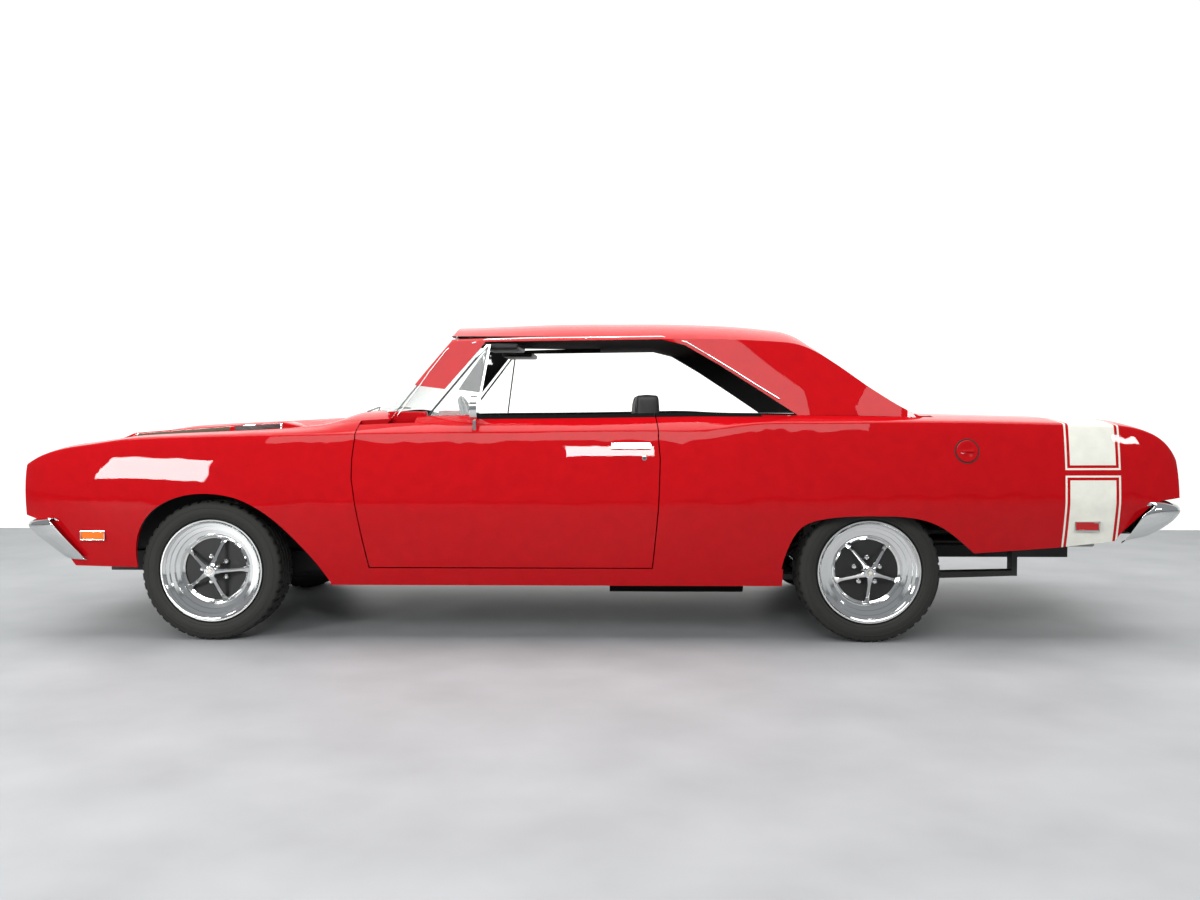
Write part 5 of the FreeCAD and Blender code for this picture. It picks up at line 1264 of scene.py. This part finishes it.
class CAR_OT_cabin(bpy.types.Operator):
    """Add the visors and the mirror inside the cabin"""

    bl_idname = "car.cabin"
    bl_label = "Cabin"

    def execute(self, context):
        for name, side in SIDES:
            visor = side_slab(*VISOR, side, 0.010)
            done(visor, "visor_" + name, "chassis", "black_vinyl", "vinyl")
        mirror = slab(*MIRROR, 0.008)
        bright(mirror, "inside_mirror")
        stalk = bar(MIRROR_STALK, 0.006, turn=(0.0, 0.0, 0.0))
        bright(stalk, "inside_mirror_stalk")
        return {"FINISHED"}


# The world's strength as light, in reflections and where the camera looks at it.
WORLD_LIGHT = 0.16
WORLD_SHINE = 0.30
WORLD_SEEN = 0.86
WORLD_COLOUR = (0.92, 0.95, 1.0, 1)
STAGE_SIZE = 60
WALL_BEHIND = 3.6
WALL_GLOW = 0.55
# Lamps: name, place, aim, width, depth and power. The boxes are seen in the fender, the door and the tail.
LAMPS = (
    ("top_light", (0, -0.5, 5.0), (0, 0, 0.5), 9.0, 4.5, 430),
    ("side_light", (-0.5, -7.5, 5.2), (0, 0, 0.4), 7.0, 1.6, 190),
    ("front_box", (-4.40, -6.0, 2.05), (-1.90, -0.85, 0.75), 1.25, 1.0, 200),
    ("middle_box", (0.0, -6.0, 2.98), (0.04, -0.85, 0.80), 0.85, 0.40, 60),
    ("rear_box", (6.10, -6.0, 3.05), (2.25, -0.82, 0.87), 0.9, 0.45, 75),
)
# The camera's place along the car, and how far it looks down and turns.
CAMERA_ALONG = 0.111
CAMERA_DOWN = 2.284
CAMERA_TURN = 1.05


def area_light(name, place, aim, width, depth, power):
    """A rectangular lamp that points at a place."""
    bpy.ops.object.light_add(type="AREA", location=place)
    lamp = bpy.context.object
    lamp.name = name
    lamp.data.shape = "RECTANGLE"
    lamp.data.size = width
    lamp.data.size_y = depth
    lamp.data.energy = power
    lamp.rotation_euler = (Vector(aim) - Vector(place)).to_track_quat("-Z", "Y").to_euler()


class CAR_OT_stage(bpy.types.Operator):
    """Add the studio floor, wall, lights and camera"""

    bl_idname = "car.stage"
    bl_label = "Stage"

    def execute(self, context):
        scene = context.scene
        scene.view_settings.view_transform = "Standard"
        bpy.ops.mesh.primitive_plane_add(size=STAGE_SIZE, location=(0, 0, 0))
        floor = bpy.context.object
        floor.name = "studio_floor"
        set_material(floor, plain("studio_floor", colours().floor, 0.55, 0.0, 30.0, 0.05))
        upright = (math.radians(90), 0, 0)
        bpy.ops.mesh.primitive_plane_add(size=STAGE_SIZE, location=(0, WALL_BEHIND, 0), rotation=upright)
        wall = bpy.context.object
        wall.name = "studio_wall"
        material, tree, shader = new_material("studio_wall", colours().wall, 0.9)
        grained(tree, shader, colours().wall, 2.0, 0.0, 0.05)
        tree.set(shader, Emission_Color=(*colours().wall, 1.0), Emission_Strength=WALL_GLOW)
        self.open_from_behind(tree, shader)
        set_material(wall, material)
        world = bpy.data.worlds.new("studio")
        world.use_nodes = True
        self.pale_world(Tree(world.node_tree), world.node_tree.nodes["Background"])
        scene.world = world
        for lamp in LAMPS:
            area_light(*lamp)
        bpy.ops.object.camera_add(location=(CAMERA_ALONG, -sizes().camera_distance, sizes().camera_height))
        camera = bpy.context.object
        camera.name = "photo_camera"
        camera.data.lens = sizes().camera_lens
        camera.data.sensor_width = 36.0
        camera.rotation_euler = (math.radians(90 - CAMERA_DOWN), 0, math.radians(CAMERA_TURN))
        scene.camera = camera
        return {"FINISHED"}

    def open_from_behind(self, tree, shader):
        """Lets the camera look through the wall's back."""
        clear = tree.add("ShaderNodeBsdfTransparent")
        both = tree.add("ShaderNodeMixShader")
        tree.link(tree.add("ShaderNodeNewGeometry").outputs["Backfacing"], both.inputs[0])
        tree.link(shader.outputs[0], both.inputs[1])
        tree.link(clear.outputs[0], both.inputs[2])
        tree.link(both.outputs[0], tree.tree.nodes["Material Output"].inputs["Surface"])

    def pale_world(self, tree, background):
        """A dim world for the light, and a pale one where the camera, glass and metal see it."""
        path = tree.add("ShaderNodeLightPath")
        seen = tree.math("MAXIMUM", path.outputs["Is Camera Ray"], path.outputs["Is Transmission Ray"])
        shine = tree.math("MULTIPLY", path.outputs["Is Glossy Ray"], WORLD_SHINE)
        level = tree.math("MAXIMUM", tree.math("MULTIPLY", seen, WORLD_SEEN), shine)
        tree.link(tree.math("MAXIMUM", level, WORLD_LIGHT), background.inputs["Strength"])
        background.inputs["Color"].default_value = WORLD_COLOUR


class CAR_PT_panel(bpy.types.Panel):
    """Buttons for each group of pieces"""

    bl_label = "Muscle car"
    bl_idname = "CAR_PT_panel"
    bl_space_type = "VIEW_3D"
    bl_region_type = "UI"
    bl_category = "Car"

    def draw(self, context):
        for operator in OPERATORS:
            self.layout.operator(operator.bl_idname)
        for group in (context.scene.car_colours, context.scene.car_sizes):
            for name in group.__annotations__:
                self.layout.prop(group, name)


OPERATORS = (
    CAR_OT_panels, CAR_OT_fittings, CAR_OT_wheels, CAR_OT_seats, CAR_OT_bumpers, CAR_OT_brightwork,
    CAR_OT_scoops, CAR_OT_cabin, CAR_OT_stage,
)
CLASSES = (CarColours, CarSizes) + OPERATORS + (CAR_PT_panel,)


def register():
    for item in CLASSES:
        bpy.utils.register_class(item)
    bpy.types.Scene.car_colours = bpy.props.PointerProperty(type=CarColours)
    bpy.types.Scene.car_sizes = bpy.props.PointerProperty(type=CarSizes)


def unregister():
    del bpy.types.Scene.car_sizes
    del bpy.types.Scene.car_colours
    for item in reversed(CLASSES):
        bpy.utils.unregister_class(item)


def main():
    register()
    for operator in OPERATORS:
        group, name = operator.bl_idname.split(".")
        getattr(getattr(bpy.ops, group), name)()


if __name__ == "__main__":
    main()
